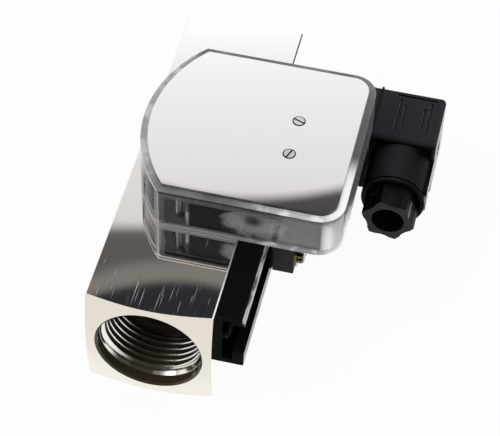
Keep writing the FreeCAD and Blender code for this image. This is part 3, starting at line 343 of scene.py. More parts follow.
# %% World
AMBIENT, DARK_SIDE = 0.5, 0.1
DARK_LIMITS = (0.2, 0.62)
world = bpy.data.worlds.new("white_room")
bpy.context.scene.world = world
world.use_nodes = True
tree = world.node_tree
path = add(tree, "ShaderNodeLightPath").outputs
towards = add(tree, "ShaderNodeVectorMath", {1: axes[2].tolist()}, operation="DOT_PRODUCT")
join(tree, add(tree, "ShaderNodeTexCoord").outputs["Generated"], towards.inputs[0])
room = step(tree, towards.outputs["Value"], *DARK_LIMITS, 1.0, DARK_SIDE)
mirrored = either(tree, path["Is Glossy Ray"], path["Is Transmission Ray"])
even = ramp(tree, mirrored, start=AMBIENT, stop=room)
sky = tree.nodes["Background"]
sky.inputs["Color"].default_value = rgb(1.0, 1.0, 1.0)
feed(tree, sky.inputs["Strength"], ramp(tree, path["Is Camera Ray"], start=even, stop=1.0))
print("world:", world.name)

# %% [markdown]
# The floor is a sheet of white paper that runs out of sight. It could be lit until it is white,
# but that would burn out the meter, so it glows for the camera and for mirrors, and only a
# twentieth of what they see is real paper, which keeps a faint shadow under the meter.

# %% Floor
FLOOR_HALF, PAPER_GLOW = 3.0, 0.95
floor = new_object("floor", flat_mesh("floor", -FLOOR_HALF, FLOOR_HALF, -FLOOR_HALF, FLOOR_HALF))
material, tree, shader = new_material("floor_paper")
plain(shader, Base_Color=rgb(0.9, 0.9, 0.9), Roughness=0.9, Specular_IOR_Level=0.0)
path = add(tree, "ShaderNodeLightPath").outputs
seen = either(tree, path["Is Camera Ray"], path["Is Glossy Ray"])
seen = either(tree, seen, path["Is Transmission Ray"])
glow = add(tree, "ShaderNodeEmission", {"Color": rgb(1.0, 1.0, 1.0), "Strength": 1.0})
show_mixed(tree, calc(tree, "MULTIPLY", seen, PAPER_GLOW), shader, glow)
floor.data.materials.append(material)
print("floor:", 2.0 * FLOOR_HALF, "m square")

# %% [markdown]
# Two soft lamps light the meter: a large one from the left and a weaker one from the right. A sun
# would give hard shadows; a square area lamp gives the soft ones of a studio.

# %% Lamps


def soft_lamp(name, place, size, power):
    """A square area lamp that looks at the block."""
    data = bpy.data.lights.new(name, "AREA")
    data.size = size
    data.energy = power
    lamp = new_object(name, data)
    lamp.matrix_world = placed(level_axes(np.array(place) - BLOCK_CENTRE), place)
    print(name, "at", place)


soft_lamp("key_lamp", (-0.45, -0.35, 0.6), size=0.5, power=2.2)
soft_lamp("fill_lamp", (0.6, 0.2, 0.45), size=0.4, power=1.0)

# %% [markdown]
# Polished metal shows the room. A card over the far side carries the bands that the block's top
# and the face plate mirror: bright at the back, then a dark grey edge, a paler strip and navy.
# The bands could be modelled as real furniture, but one card with a colour ramp is easier to tune.
# The camera never sees the card itself, and it lights nothing matt.

# %% Card for the reflections
CARD_LEFT, CARD_RIGHT, CARD_NEAR, CARD_FAR = -0.3, 0.25, 0.1, 0.62
CARD_HEIGHT = 0.483
card_mesh = flat_mesh("banded_card", CARD_LEFT, CARD_RIGHT, CARD_NEAR, CARD_FAR)
card = new_object("banded_card", card_mesh)
card.location = (0.0, 0.0, CARD_HEIGHT)
card.visible_camera = False
card.visible_diffuse = False
card.visible_shadow = False
print("card at height", CARD_HEIGHT)

# %% [markdown]
# The bands lean, because the block doesn't point at the camera, and the front ones bend a little,
# as the edge of a curved screen does. So the place on the ramp is y less a share of x, and a
# parabola of x is taken off towards the front.

# %% Bands on the card
CARD_LEAN, LEAN_MIDDLE = 0.25, -0.1
FRONT_MIDDLE, FRONT_LEAN, FRONT_BEND = -0.094, 0.05, -5.75
FRONT_LIMITS = (0.316, 0.350)
BANDS_START, BANDS_STOP = 0.15, 0.62
CARD_BANDS = [
    (0.287, (0.024, 0.025, 0.031)),
    (0.2935, (0.225, 0.205, 0.190)),
    (0.304, (0.215, 0.195, 0.185)),
    (0.311, (0.105, 0.098, 0.096)),
    (0.330, (0.110, 0.102, 0.100)),
    (0.340, (0.74, 0.72, 0.71)),
    (0.400, (0.80, 0.79, 0.79)),
    (0.470, (0.90, 0.89, 0.89)),
    (0.520, (1.07, 1.07, 1.10)),
]
material, tree, shader = new_material("card_bands")
tree.nodes.remove(shader)
x, y, _ = parts_of(tree, "Object")
across = calc(tree, "MULTIPLY_ADD", x, -CARD_LEAN, y)
bent = parabola(tree, x, FRONT_MIDDLE, 0.0, FRONT_LEAN, FRONT_BEND)
front = step(tree, across, *FRONT_LIMITS, -1.0, 0.0)
across = calc(tree, "MULTIPLY_ADD", bent, front, across)
lift = -LEAN_MIDDLE * CARD_LEAN
bands = add(tree, "ShaderNodeValToRGB")
feed(tree, bands.inputs["Fac"], ramp(tree, across, BANDS_START + lift, BANDS_STOP + lift))
stops = bands.color_ramp.elements
while len(stops) < len(CARD_BANDS):
    stops.new(1.0)
for stop, (where, colour) in zip(stops, CARD_BANDS):
    stop.position = (where - BANDS_START) / (BANDS_STOP - BANDS_START)
    stop.color = rgb(*colour)
glow = add(tree, "ShaderNodeEmission", {"Strength": 1.0})
join(tree, bands.outputs["Color"], glow.inputs["Color"])
show(tree, glow)
card.data.materials.append(material)
print("card bands:", len(CARD_BANDS))

# %% [markdown]
# Wear repeats on several finishes, so it is made once as a node group. Fine scratches are a
# noise stretched a long way along one direction and cut to its thin peaks. Grain is a fine noise
# for moulded plastic. Both put out a mask or a height, and each material decides what to do.

# %% Shared node groups
SCRATCH_STRETCH, SCRATCH_PEAK, WEAR_ROUGHNESS = (1.0, 0.02, 1.0), 0.78, 0.6


def new_group(name, output, **inputs):
    """A shader group with float inputs and one float output, and its two end nodes."""
    group = bpy.data.node_groups.new(name, "ShaderNodeTree")
    sockets = group.interface
    for label, value in inputs.items():
        socket = sockets.new_socket(label, in_out="INPUT", socket_type="NodeSocketFloat")
        socket.default_value = value
    sockets.new_socket(output, in_out="OUTPUT", socket_type="NodeSocketFloat")
    return group, group.nodes.new("NodeGroupInput"), group.nodes.new("NodeGroupOutput")


def make_scratch_group():
    """Thin peaks of a noise that is stretched along Y; Threshold sets how many are left."""
    group, start, end = new_group("fine_scratches", "Mask", Density=900.0, Threshold=0.66)
    lines = clouds(group, start.outputs["Density"], 2.0, WEAR_ROUGHNESS, Scale=SCRATCH_STRETCH)
    peaks = step(group, lines, start.outputs["Threshold"], SCRATCH_PEAK)
    join(group, peaks, end.inputs["Mask"])
    return group


def make_grain_group():
    """A fine even noise, as on a spark-eroded mould."""
    group, start, end = new_group("mould_grain", "Height", Density=2500.0)
    grain = clouds(group, start.outputs["Density"], 3.0, WEAR_ROUGHNESS)
    join(group, grain, end.inputs["Height"])
    return group


scratch_group = make_scratch_group()
grain_group = make_grain_group()
print("groups:", scratch_group.name, grain_group.name)

# %% [markdown]
# Metals: a Principled shader with Metallic at 1, where the base colour is the colour of the
# reflection. Scratches could be cut as bumps, but at this size they only scatter the light, so
# they raise the roughness. The plain metals need no more than that.

# %% Plain metals


def metal(name, colour, smooth, worn, density=900.0, threshold=0.66):
    """Metal whose roughness goes from smooth to worn where the scratches are."""
    material, tree, shader = new_material(name)
    plain(shader, Base_Color=rgb(*colour), Metallic=1.0)
    amounts = {"Density": density, "Threshold": threshold}
    marks = add(tree, "ShaderNodeGroup", amounts, node_tree=scratch_group, name="marks")
    rough = ramp(tree, marks.outputs["Mask"], start=smooth, stop=worn)
    feed(tree, shader.inputs["Roughness"], rough)
    return material


blackened = metal("blackened_steel", (0.006, 0.006, 0.006), smooth=0.4, worn=0.5)
bright_steel = metal("bright_steel", (0.62, 0.62, 0.61), smooth=0.2, worn=0.4)
turned_brass = metal("turned_brass", (0.42, 0.33, 0.16), smooth=0.2, worn=0.4)
oiled_brass = metal("oiled_brass", (0.10, 0.08, 0.04), smooth=0.3, worn=0.4)
aged_brass = metal("aged_brass", (0.11, 0.097, 0.05), smooth=0.12, worn=0.3)
milled_aluminium = metal("milled_aluminium", (0.75, 0.75, 0.76), smooth=0.3, worn=0.45)
dark_magnet = metal("dark_magnet", (0.12, 0.12, 0.13), smooth=0.4, worn=0.5)
print("plain metals ready")

# %% [markdown]
# The block is a brass bar with bright nickel on it. Its top is polished and scratched near the
# inlet, its ends are faced and creamy, and its flanks are satin, with painted shade that grows
# darker towards the top and a painted sheen where they are seen edgeways. The far half of its
# right top edge carries painted shade, and its ports are painted a dark brown shade inside.
# It could be cut into pieces with a material each; masks on place and direction keep it whole.

# %% Plated block
NICKEL, FLAT, TILTED = (0.93, 0.915, 0.89), 0.8, 0.3
END_LOW, END_HIGH, END_LIMITS = (0.92, 0.88, 0.81), (0.80, 0.745, 0.665), (0.0, 0.03)
FLANK_LOW, FLANK_HIGH, FLANK_LIMITS = (0.66, 0.645, 0.615), (0.50, 0.485, 0.46), (0.0, 0.04)
FLANK_SHEEN, RIGHT_EDGE_SHADE = (0.985, 0.98, 0.975), (0.06, 0.06, 0.06)
BORE_SHADE_BROWN, BORE_METALLIC = (0.06, 0.045, 0.027), 0.2
PORT_RADIUS, FAR_EDGE, FLANK_GRAZING = 0.01722, (0.0, 0.02), (0.74, 0.84)
END_DULL, EDGE_DULL, FLANK_DULL = 0.16, 0.4, 0.14
SCRATCH_LIMITS, SCRATCH_THRESHOLDS = (-0.066, -0.030), (0.58, 0.76)
END_THRESHOLD = 0.75


def from_axis(tree, across=0.0, height=FLOW_HEIGHT * MM):
    """Distance from an axis along Y, such as the flow's, and the place along it."""
    x, y, z = parts_of(tree, "Object")
    aside = calc(tree, "SUBTRACT", x, across)
    return distance(tree, aside, calc(tree, "SUBTRACT", z, height)), y


def plated_block():
    """Bright nickel; creamy ends; satin flanks with painted shade and sheen; painted shade on the
    far right edge and in the ports.
    """
    material = metal("polished_nickel", NICKEL, smooth=0.035, worn=0.7, density=2300.0)
    tree, shader = recipe(material)
    radius, along = from_axis(tree)
    height = parts_of(tree, "Object")[2]
    across, ahead, upward = parts_of(tree, "Normal")
    inside = calc(tree, "LESS_THAN", radius, PORT_RADIUS)
    faced = calc(tree, "GREATER_THAN", calc(tree, "ABSOLUTE", ahead), FLAT)
    flank = except_for(tree, calc(tree, "LESS_THAN", upward, TILTED), faced)
    rightward = calc(tree, "GREATER_THAN", across, TILTED)
    edge = both(tree, rightward, calc(tree, "GREATER_THAN", upward, TILTED))
    sheen = grazing(tree, *FLANK_GRAZING)
    # Painted shade on the flanks, darker towards the top, and a painted sheen where seen edgeways.
    side_colour = mix(tree, step(tree, height, *FLANK_LIMITS), FLANK_LOW, FLANK_HIGH)
    paint(tree, shader, faced, mix(tree, step(tree, height, *END_LIMITS), END_LOW, END_HIGH))
    paint(tree, shader, flank, mix(tree, sheen, side_colour, FLANK_SHEEN))
    # Painted shade on the far half of the right top edge.
    paint(tree, shader, both(tree, edge, step(tree, along, *FAR_EDGE)), RIGHT_EDGE_SHADE)
    # Painted dark brown shade inside the ports.
    paint(tree, shader, inside, BORE_SHADE_BROWN)
    feed(tree, shader.inputs["Metallic"], step(tree, inside, 0.0, 1.0, 1.0, BORE_METALLIC))
    dull = calc(tree, "MULTIPLY_ADD", edge, EDGE_DULL, calc(tree, "MULTIPLY", faced, END_DULL))
    dull = calc(tree, "MULTIPLY_ADD", except_for(tree, flank, sheen), FLANK_DULL, dull)
    scratched = shader.inputs["Roughness"].links[0].from_socket
    feed(tree, shader.inputs["Roughness"], calc(tree, "ADD", scratched, dull))
    fewer = step(tree, along, *SCRATCH_LIMITS, *SCRATCH_THRESHOLDS)
    fewer = either(tree, fewer, calc(tree, "MULTIPLY", faced, END_THRESHOLD))
    feed(tree, tree.nodes["marks"].inputs["Threshold"], fewer)
    return material


nickel = plated_block()
print("finish:", nickel.name)

# %% [markdown]
# In the ports, the crests of the thread and the entry cone show bright nickel, and the valleys
# carry a painted dark brown shade. The distance from the axis tells a crest from a valley, and the
# place along the axis finds the cone. In the middle the cone and crests mirror the dark bore, so a
# painted reflection dims them.

# %% Thread finish
CREST_BRIGHT = (0.90, 0.87, 0.82)
CREST_LIMITS, CONE_LIMITS = (0.01545, 0.01565), (0.0594, 0.0600)
DIM_MIDDLE, DIM_LIMITS, DIM_LEAST = -0.0025, (0.004, 0.011), 0.04


def thread_metal():
    """Bright entry cone and crests, painted brown shade in the valleys; a painted reflection dims
    the middle.
    """
    material = metal("port_thread", BORE_SHADE_BROWN, smooth=0.12, worn=0.3)
    tree, shader = recipe(material)
    radius, along = from_axis(tree)
    crest = fall(tree, radius, *CREST_LIMITS)
    cone = step(tree, calc(tree, "ABSOLUTE", along), *CONE_LIMITS)
    aside = calc(tree, "SUBTRACT", parts_of(tree, "Object")[0], DIM_MIDDLE)
    dim = step(tree, calc(tree, "ABSOLUTE", aside), *DIM_LIMITS, DIM_LEAST, 1.0)
    bright = both(tree, either(tree, crest, cone), dim)
    # Nickel on crests and cone; the brown valleys are painted shade, the dim middle a painted
    # reflection.
    paint(tree, shader, bright, CREST_BRIGHT)
    feed(tree, shader.inputs["Metallic"], step(tree, bright, 0.0, 0.5, BORE_METALLIC, 1.0))
    return material


thread_nickel = thread_metal()
print("finish:", thread_nickel.name)

# %% [markdown]
# The face plate is a polished sheet under the hood's rim. It lies almost level and mirrors the
# bright card, but its front right corner mirrors something dark. A second card could stand there;
# a curved border on the plate itself is simpler. A slight lean of the normal aims the mirror.

# %% Face plate
PLATE, PLATE_DARK, PLATE_TILT = (0.98, 0.973, 0.973), (0.11, 0.103, 0.103), 0.016
BORDER = {"middle": 0.0228, "height": -0.02865, "slope": 0.242, "bend": 6.5}
BORDER_LIMITS = (-0.0036, 0.0030)


def mirror_plate():
    """A mirror that is dark where y lies below a parabola of x."""
    material = metal(
        "polished_plate", PLATE, smooth=0.09, worn=0.4, density=1500.0, threshold=0.72
    )
    tree, shader = recipe(material)
    x, y, _ = parts_of(tree, "Object")
    beyond = calc(tree, "SUBTRACT", y, parabola(tree, x, **BORDER))
    paint(tree, shader, fall(tree, beyond, *BORDER_LIMITS), PLATE_DARK)
    shape = add(tree, "ShaderNodeNewGeometry")
    lean = add(tree, "ShaderNodeVectorMath", {1: (0.0, PLATE_TILT, 0.0)}, operation="ADD")
    unit = add(tree, "ShaderNodeVectorMath", operation="NORMALIZE")
    join(tree, shape.outputs["Normal"], lean.inputs[0])
    join(tree, lean.outputs[0], unit.inputs[0])
    join(tree, unit.outputs[0], shader.inputs["Normal"])
    return material


plate_metal = mirror_plate()
print("finish:", plate_metal.name)

# %% [markdown]
# Two slotted screws hold the plate. Painted shade makes the slot and the rim of each head almost
# black. Their place is known, so the distance from each middle gives the rim, and what lies below
# the head's face is the slot. They stand in line with the pointer's pivot, at equal distances from
# a middle, so y is folded there and one recipe does for both heads.

# %% Slotted screws
PIVOT = 30.3
SCREW_STEEL, SLOT_SHADE = (0.86, 0.86, 0.85), (0.012, 0.012, 0.012)
SCREWS_MIDDLE, SCREWS_HALF = -0.0008, 0.00725
HEAD_RIM, HEAD_FACE = (0.00172, 0.00182), 0.05728


def slotted_steel():
    """Two screw heads, with painted shade in the slot below their faces and round their rims."""
    material = metal("slotted_steel", SCREW_STEEL, smooth=0.2, worn=0.4)
    tree, shader = recipe(material)
    x, y, z = parts_of(tree, "Object")
    across = calc(tree, "SUBTRACT", x, PIVOT * MM)
    folded = calc(tree, "ABSOLUTE", calc(tree, "SUBTRACT", y, SCREWS_MIDDLE))
    along = calc(tree, "SUBTRACT", folded, SCREWS_HALF)
    rim = step(tree, distance(tree, across, along), *HEAD_RIM)
    # Painted shade in the slot and round the rim of each head.
    paint(tree, shader, either(tree, rim, calc(tree, "LESS_THAN", z, HEAD_FACE)), SLOT_SHADE)
    return material


screw_steel = slotted_steel()
print("finish:", screw_steel.name)

# %% [markdown]
# Plastics: a low base colour with a satin roughness. The grain group feeds a bump so that
# highlights break up as they do on a moulded part. The upward faces are painted paler, as light
# from above makes them, which a mix on the normal gives at once.

# %% Plain plastics
BLACK = (0.003, 0.003, 0.0035)
GREY, GREY_LIT_TOP = (0.036, 0.036, 0.037), (0.04, 0.04, 0.041)
RUBBER, RUBBER_LIT_TOP = (0.008, 0.008, 0.008), (0.012, 0.012, 0.012)
GRAIN_DEPTH = 0.00008
UPWARD_LIMITS = (0.1, 0.9)


def moulded(name, colour, top, rough, bump, gloss):
    """Moulded plastic with a fine grain; upward faces take a top colour of painted light, if given.
    """
    material, tree, shader = new_material(name)
    plain(shader, Base_Color=rgb(*colour), Roughness=rough, Specular_IOR_Level=gloss)
    if top:
        # Painted light from above makes the upward faces paler.
        paint(tree, shader, step(tree, room_normal(tree)[2], *UPWARD_LIMITS), top)
    grain = add(tree, "ShaderNodeGroup", node_tree=grain_group)
    relief = add(tree, "ShaderNodeBump", {"Strength": bump, "Distance": GRAIN_DEPTH})
    join(tree, grain.outputs["Height"], relief.inputs["Height"])
    join(tree, relief.outputs["Normal"], shader.inputs["Normal"])
    return material


grey_moulding = moulded("grey_moulding", GREY, GREY_LIT_TOP, rough=0.45, bump=0.25, gloss=0.08)
seal_rubber = moulded("seal_rubber", RUBBER, RUBBER_LIT_TOP, rough=0.7, bump=0.3, gloss=0.1)
print("plain plastics ready")

# %% [markdown]
# The plug and its gland nut are black mouldings. Seen edgeways, their right-hand faces shine like
# any satin surface at a low angle. A clear coat could give that on every face; a sheen painted into
# the base colour by Layer Weight can be kept to those faces. The plug's barrel gets painted shade
# on its right, and the nut's end face is a little greyer.

# %% Plug and gland nut
PLUG_LIT_TOP, NUT_LIT_TOP, NUT_END = (0.027, 0.028, 0.033), (0.009, 0.009, 0.009), (0.05, 0.05, 0.049)
PLUG_SHEEN, NUT_SHEEN = (0.62, 0.62, 0.58), (0.3, 0.3, 0.29)
BARREL_END, BARREL_SIDE, BARREL_SHADE = (0.0225, 0.0235), (0.061, 0.069), 0.95
GLAND_AXIS, NUT_BORE = (0.0626, 0.0275), 0.006
RIGHTWARD = (0.15, 0.5)


def right_sheen(tree, start=0.70, stop=0.86):
    """1 on faces turned to the right that are seen almost edgeways, and 0 elsewhere."""
    return both(tree, step(tree, room_normal(tree)[0], *RIGHTWARD), grazing(tree, start, stop))


def plug_finish():
    """Black moulding with painted shade on the barrel and a painted sheen on its right-hand faces.
    """
    material = moulded("black_moulding", BLACK, PLUG_LIT_TOP, rough=0.40, bump=0.25, gloss=0.05)
    tree, shader = recipe(material)
    x, y, _ = parts_of(tree, "Object")
    side = step(tree, x, *BARREL_SIDE, 0.0, BARREL_SHADE)
    # Painted shade: the barrel's right side goes back to black from the paler top colour.
    paint(tree, shader, both(tree, fall(tree, y, *BARREL_END), side), BLACK)
    paint(tree, shader, right_sheen(tree), PLUG_SHEEN)
    return material


def nut_finish():
    """Black nut with a greyer end face, and a painted sheen on its flats but not in its bore."""
    material = moulded("nut_moulding", BLACK, NUT_LIT_TOP, rough=0.40, bump=0.25, gloss=0.05)
    tree, shader = recipe(material)
    paint(tree, shader, calc(tree, "LESS_THAN", parts_of(tree, "Normal")[1], -FLAT), NUT_END)
    outer = calc(tree, "GREATER_THAN", from_axis(tree, *GLAND_AXIS)[0], NUT_BORE)
    paint(tree, shader, both(tree, right_sheen(tree), outer), NUT_SHEEN)
    return material


black_moulding = plug_finish()
nut_moulding = nut_finish()
print("finishes:", black_moulding.name, nut_moulding.name)

# %% [markdown]
# Inside the hood, the drum is black but its curved scale face and its foot are a dull grey, and
# only the flag at the pointer's end is painted white. Towards its right end the drum is greyed with
# painted light. Both are seen through the clear wall, so simple masks on direction and height are
# enough.

# %% Drum and pointer
DRUM_GREY, POINTER_BLACK, FLAG_WHITE = (0.13, 0.13, 0.135), (0.02, 0.02, 0.02), (0.8, 0.8, 0.8)
CURVED_LIMITS, FOOT_TURN, FOOT_HEIGHT = (-0.75, -0.35), (0.5, 0.8), 0.0412
DRUM_LIT_RIGHT, FLAG_FOOT = (0.036, 0.0455), (0.0436, 0.0438)


def scale_finish():
    """Black drum, grey on the curved scale face and its foot, and greyed by painted light at its
    right end.
    """
    material = moulded("drum_moulding", BLACK, None, rough=0.4, bump=0.1, gloss=0.1)
    tree, shader = recipe(material)
    across, _, upward = parts_of(tree, "Normal")
    x, _, z = parts_of(tree, "Object")
    foot = both(tree, calc(tree, "LESS_THAN", z, FOOT_HEIGHT), step(tree, upward, *FOOT_TURN))
    pale = either(tree, fall(tree, across, *CURVED_LIMITS), foot)
    # The grey on scale face and foot is the drum's own; towards the right end it is painted light.
    paint(tree, shader, either(tree, pale, step(tree, x, *DRUM_LIT_RIGHT)), DRUM_GREY)
    return material


def pointer_finish():
    """Black arm and white flag: the flag is all that stands higher than the arm."""
    material = moulded("pointer_paint", POINTER_BLACK, None, rough=0.3, bump=0.1, gloss=0.3)
    tree, shader = recipe(material)
    paint(tree, shader, step(tree, parts_of(tree, "Object")[2], *FLAG_FOOT), FLAG_WHITE)
    return material


drum_moulding = scale_finish()
pointer_paint = pointer_finish()
print("finishes:", drum_moulding.name, pointer_paint.name)

# %% [markdown]
# The rail is black anodised aluminium. Its outer lips carry a painted sheen where they are seen
# edgeways, and its rounded top margin a painted highlight, both in patches. They could be painted
# by hand; a noise stretched along the rail gives the same patches, and the place on the rail says
# where they may show.

# %% Rail
RAIL_BLACK, RAIL_LIT_TOP = (0.002, 0.002, 0.0025), (0.006, 0.006, 0.007)
SHEEN_PATCH_DARK, SHEEN_PATCH_PALE = (0.10, 0.10, 0.10), (0.62, 0.62, 0.61)
RAIL_STRETCH, PATCH_LIMITS = (1.0, 0.25, 1.0), (0.40, 0.62)
LIP_LIMITS, LIP_GRAZING = (0.0265, 0.0275), (0.58, 0.80)
MARGIN_SIDE, MARGIN_HEIGHT = (0.0284, 0.0288), (0.037, 0.038)


def rail_finish():
    """Black rail with a patchy painted sheen on its outer lips and painted highlight on its top
    margin.
    """
    material = moulded("black_rail", RAIL_BLACK, RAIL_LIT_TOP, rough=0.16, bump=0.05, gloss=0.025)
    tree, shader = recipe(material)
    x, _, z = parts_of(tree, "Object")
    noise = clouds(tree, density=700.0, detail=3.0, Scale=RAIL_STRETCH)
    patches = step(tree, noise, *PATCH_LIMITS)
    lips = both(tree, step(tree, x, *LIP_LIMITS), right_sheen(tree, *LIP_GRAZING))
    margin = both(tree, step(tree, x, *MARGIN_SIDE), step(tree, z, *MARGIN_HEIGHT))
    sheen_patches = mix(tree, patches, SHEEN_PATCH_DARK, SHEEN_PATCH_PALE)
    # Painted sheen on the outer lips and painted highlight on the rounded top margin, in patches.
    paint(tree, shader, either(tree, lips, margin), sheen_patches)
    return material


black_rail = rail_finish()
print("finish:", black_rail.name)

# %% [markdown]
# The hood is clear polycarbonate: a Principled shader with full transmission and an index of
# 1.58. A solid glass wall would stop the lamps' light, and everything inside would be dark, so
# shadow rays take a transparent shader instead.

# %% Clear plastic
CLEAR, CLEAR_INDEX = (0.96, 0.97, 0.98), 1.58
SHADOW_TINT = (0.9, 0.9, 0.9)


def clear(name, colour, rough, gloss=0.5):
    """Transmitting plastic that lets shadow rays through."""
    material, tree, shader = new_material(name)
    plain(shader, Base_Color=rgb(*colour), Roughness=rough, Specular_IOR_Level=gloss)
    plain(shader, IOR=CLEAR_INDEX, Transmission_Weight=1.0)
    path = add(tree, "ShaderNodeLightPath")
    open_way = add(tree, "ShaderNodeBsdfTransparent", {"Color": rgb(*SHADOW_TINT)})
    show_mixed(tree, path.outputs["Is Shadow Ray"], shader, open_way)
    return material


clear_hood = clear("clear_hood", CLEAR, rough=0.03, gloss=0.15)
reed_glass = clear("reed_glass", (0.85, 0.92, 0.88), rough=0.05)
print("finishes:", clear_hood.name, reed_glass.name)

# %% [markdown]
# Thick plastic doesn't look equally clear all over. The curved window gets painted shade at its
# near end, where the view goes a long way through the wall. The round corner is milky, with a
# painted highlight in a white stripe where it bends the light. Tracing that bending would take many
# samples, so both are coloured by place.

# %% Window and round corner
WINDOW_SHADE, WINDOW_SHADE_LIMITS, WINDOW_INDEX = (0.20, 0.19, 0.18), (-0.018, -0.008), 1.1
HAZE, HAZE_DARK, STRIPE_HIGHLIGHT = (0.62, 0.61, 0.66), (0.37, 0.36, 0.365), (1.0, 1.0, 1.0)
STRIPE_START, STRIPE_STOP = (0.0450, 0.0478), (0.0483, 0.0496)


def shaded_window():
    """The curved window: clear, with painted shade towards its near end."""
    material = clear("clear_window", CLEAR, rough=0.03, gloss=0.12)
    tree, shader = recipe(material)
    plain(shader, IOR=WINDOW_INDEX)
    # Painted shade at the window's near end.
    paint(tree, shader, fall(tree, parts_of(tree, "Object")[1], *WINDOW_SHADE_LIMITS), WINDOW_SHADE)
    return material


def corner_haze():
    """Milky round corner: a painted highlight brightens it to a white stripe, and it is grey again
    past it.
    """
    material = clear("hazy_corner", HAZE_DARK, rough=0.15)
    tree, shader = recipe(material)
    plain(shader, Transmission_Weight=0.75)
    across = parts_of(tree, "Object")[0]
    # Painted highlight: the white stripe where the corner bends the light.
    paint(tree, shader, step(tree, across, *STRIPE_START), STRIPE_HIGHLIGHT)
    paint(tree, shader, step(tree, across, *STRIPE_STOP), HAZE)
    return material


clear_window = shaded_window()
hazy_corner = corner_haze()
print("finishes:", clear_window.name, hazy_corner.name)

# %% [markdown]
# The hood's rim and foot are ground, so they look frosted: streaked grey at the back and paler on
# the left. The white at the front right, where they catch the light, is painted light, the shade on
# the right is painted shade, and the bright lines on the left faces and at the bottom of the foot
# are painted highlights. Each of these is one layer of paint. Light that is caught inside the wall
# leaves it at the rim. Tracing it would take very many samples, so a faint emission stands for it:
# a glow on the white part, and a cream line that only the polished block's mirror shows.

# %% Ground rim of the hood
STREAK_LIMITS, LIT_LIMITS = (0.35, 0.65), (0.46, 0.62)
RIM_DARK, RIM_GREY = (0.15, 0.147, 0.16), (0.27, 0.265, 0.285)
LEFT_DARK, LEFT_PALE, LEFT_ARC = (0.42, 0.41, 0.42), (0.80, 0.79, 0.80), (-0.0125, -0.0065)
RIGHT_SHADE, RIGHT_SIDE, RIGHT_REACH = (0.11, 0.108, 0.115), (0.045, 0.049), (0.012, 0.026)
FRONT_LIT_WHITE, FRONT_SIDE, FRONT_REACH = (0.80, 0.80, 0.83), (0.018, 0.036), (-0.013, -0.003)
LEFT_HIGHLIGHT, LEFTWARD = (0.95, 0.95, 0.95), (-0.7, -0.3)
STRIP_GREY, STRIP_TOP = (0.42, 0.41, 0.40), (0.0556, 0.0559)
FOOT_GREY, FOOT_TOP = (0.32, 0.315, 0.345), (0.043, 0.045)
FOOT_HIGHLIGHT, LINE_TOP = (0.90, 0.90, 0.90), (0.0404, 0.0406)
CREAM, CREAM_GLOW, CREAM_LIMITS = (1.0, 0.90, 0.82), (2.2, 2.0, 1.8), (0.0557, 0.0559)
AWAY_LEAST = 0.008
GLOW_SIDE, GLOW_MOST = (0.0455, 0.0485), 0.9


def upper_outside(tree):
    """1 high on the outer face, where the normal times the way from the pivot is large."""
    x, y, z = parts_of(tree, "Object")
    turned_x, turned_y, _ = parts_of(tree, "Normal")
    away = calc(tree, "MULTIPLY", turned_x, calc(tree, "SUBTRACT", x, PIVOT * MM))
    away = calc(tree, "MULTIPLY_ADD", turned_y, y, away)
    outer = calc(tree, "GREATER_THAN", away, AWAY_LEAST)
    return both(tree, outer, step(tree, z, *CREAM_LIMITS))


def ground_rim():
    """Layers from the lowest to the highest, each a mask and a colour, and then the glow."""
    material, tree, shader = new_material("hood_edge")
    plain(shader, Roughness=0.3, IOR=CLEAR_INDEX, Transmission_Weight=0.3, Emission_Strength=0.35)
    x, y, z = parts_of(tree, "Object")
    noise = clouds(tree, density=170.0, detail=3.0)
    streaks = step(tree, noise, *STREAK_LIMITS)
    feed(tree, shader.inputs["Base Color"], mix(tree, streaks, RIM_DARK, RIM_GREY))
    right = both(tree, step(tree, x, *RIGHT_SIDE), fall(tree, y, *RIGHT_REACH))
    front = both(tree, step(tree, x, *FRONT_SIDE), fall(tree, y, *FRONT_REACH))
    path = add(tree, "ShaderNodeLightPath")
    mirrored = both(tree, path.outputs["Is Glossy Ray"], upper_outside(tree))
    # Painted light and shade: front white, right shade, and highlight lines on left faces and foot.
    layers = [
        (fall(tree, x, *LEFT_ARC), mix(tree, streaks, LEFT_DARK, LEFT_PALE)),
        (right, RIGHT_SHADE),
        (front, FRONT_LIT_WHITE),
        (fall(tree, parts_of(tree, "Normal")[0], *LEFTWARD), LEFT_HIGHLIGHT),
        (fall(tree, z, *STRIP_TOP), STRIP_GREY),
        (fall(tree, z, *FOOT_TOP), FOOT_GREY),
        (fall(tree, z, *LINE_TOP), FOOT_HIGHLIGHT),
        (mirrored, CREAM),
    ]
    for mask, colour in layers:
        paint(tree, shader, mask, colour)
    lit = either(tree, step(tree, noise, *LIT_LIMITS), step(tree, x, *GLOW_SIDE, 0.0, GLOW_MOST))
    glow = mix(tree, both(tree, front, lit), (0.0, 0.0, 0.0), (1.0, 1.0, 1.0))
    feed(tree, shader.inputs["Emission Color"], mix(tree, mirrored, glow, CREAM_GLOW))
    return material


hood_edge = ground_rim()
print("finish:", hood_edge.name)

# %% [markdown]
# Each solid that stays visible gets the finish of its material slot in the record. A few have a
# finish of their own, since pieces of the same stuff can be worn, oiled or lit differently.

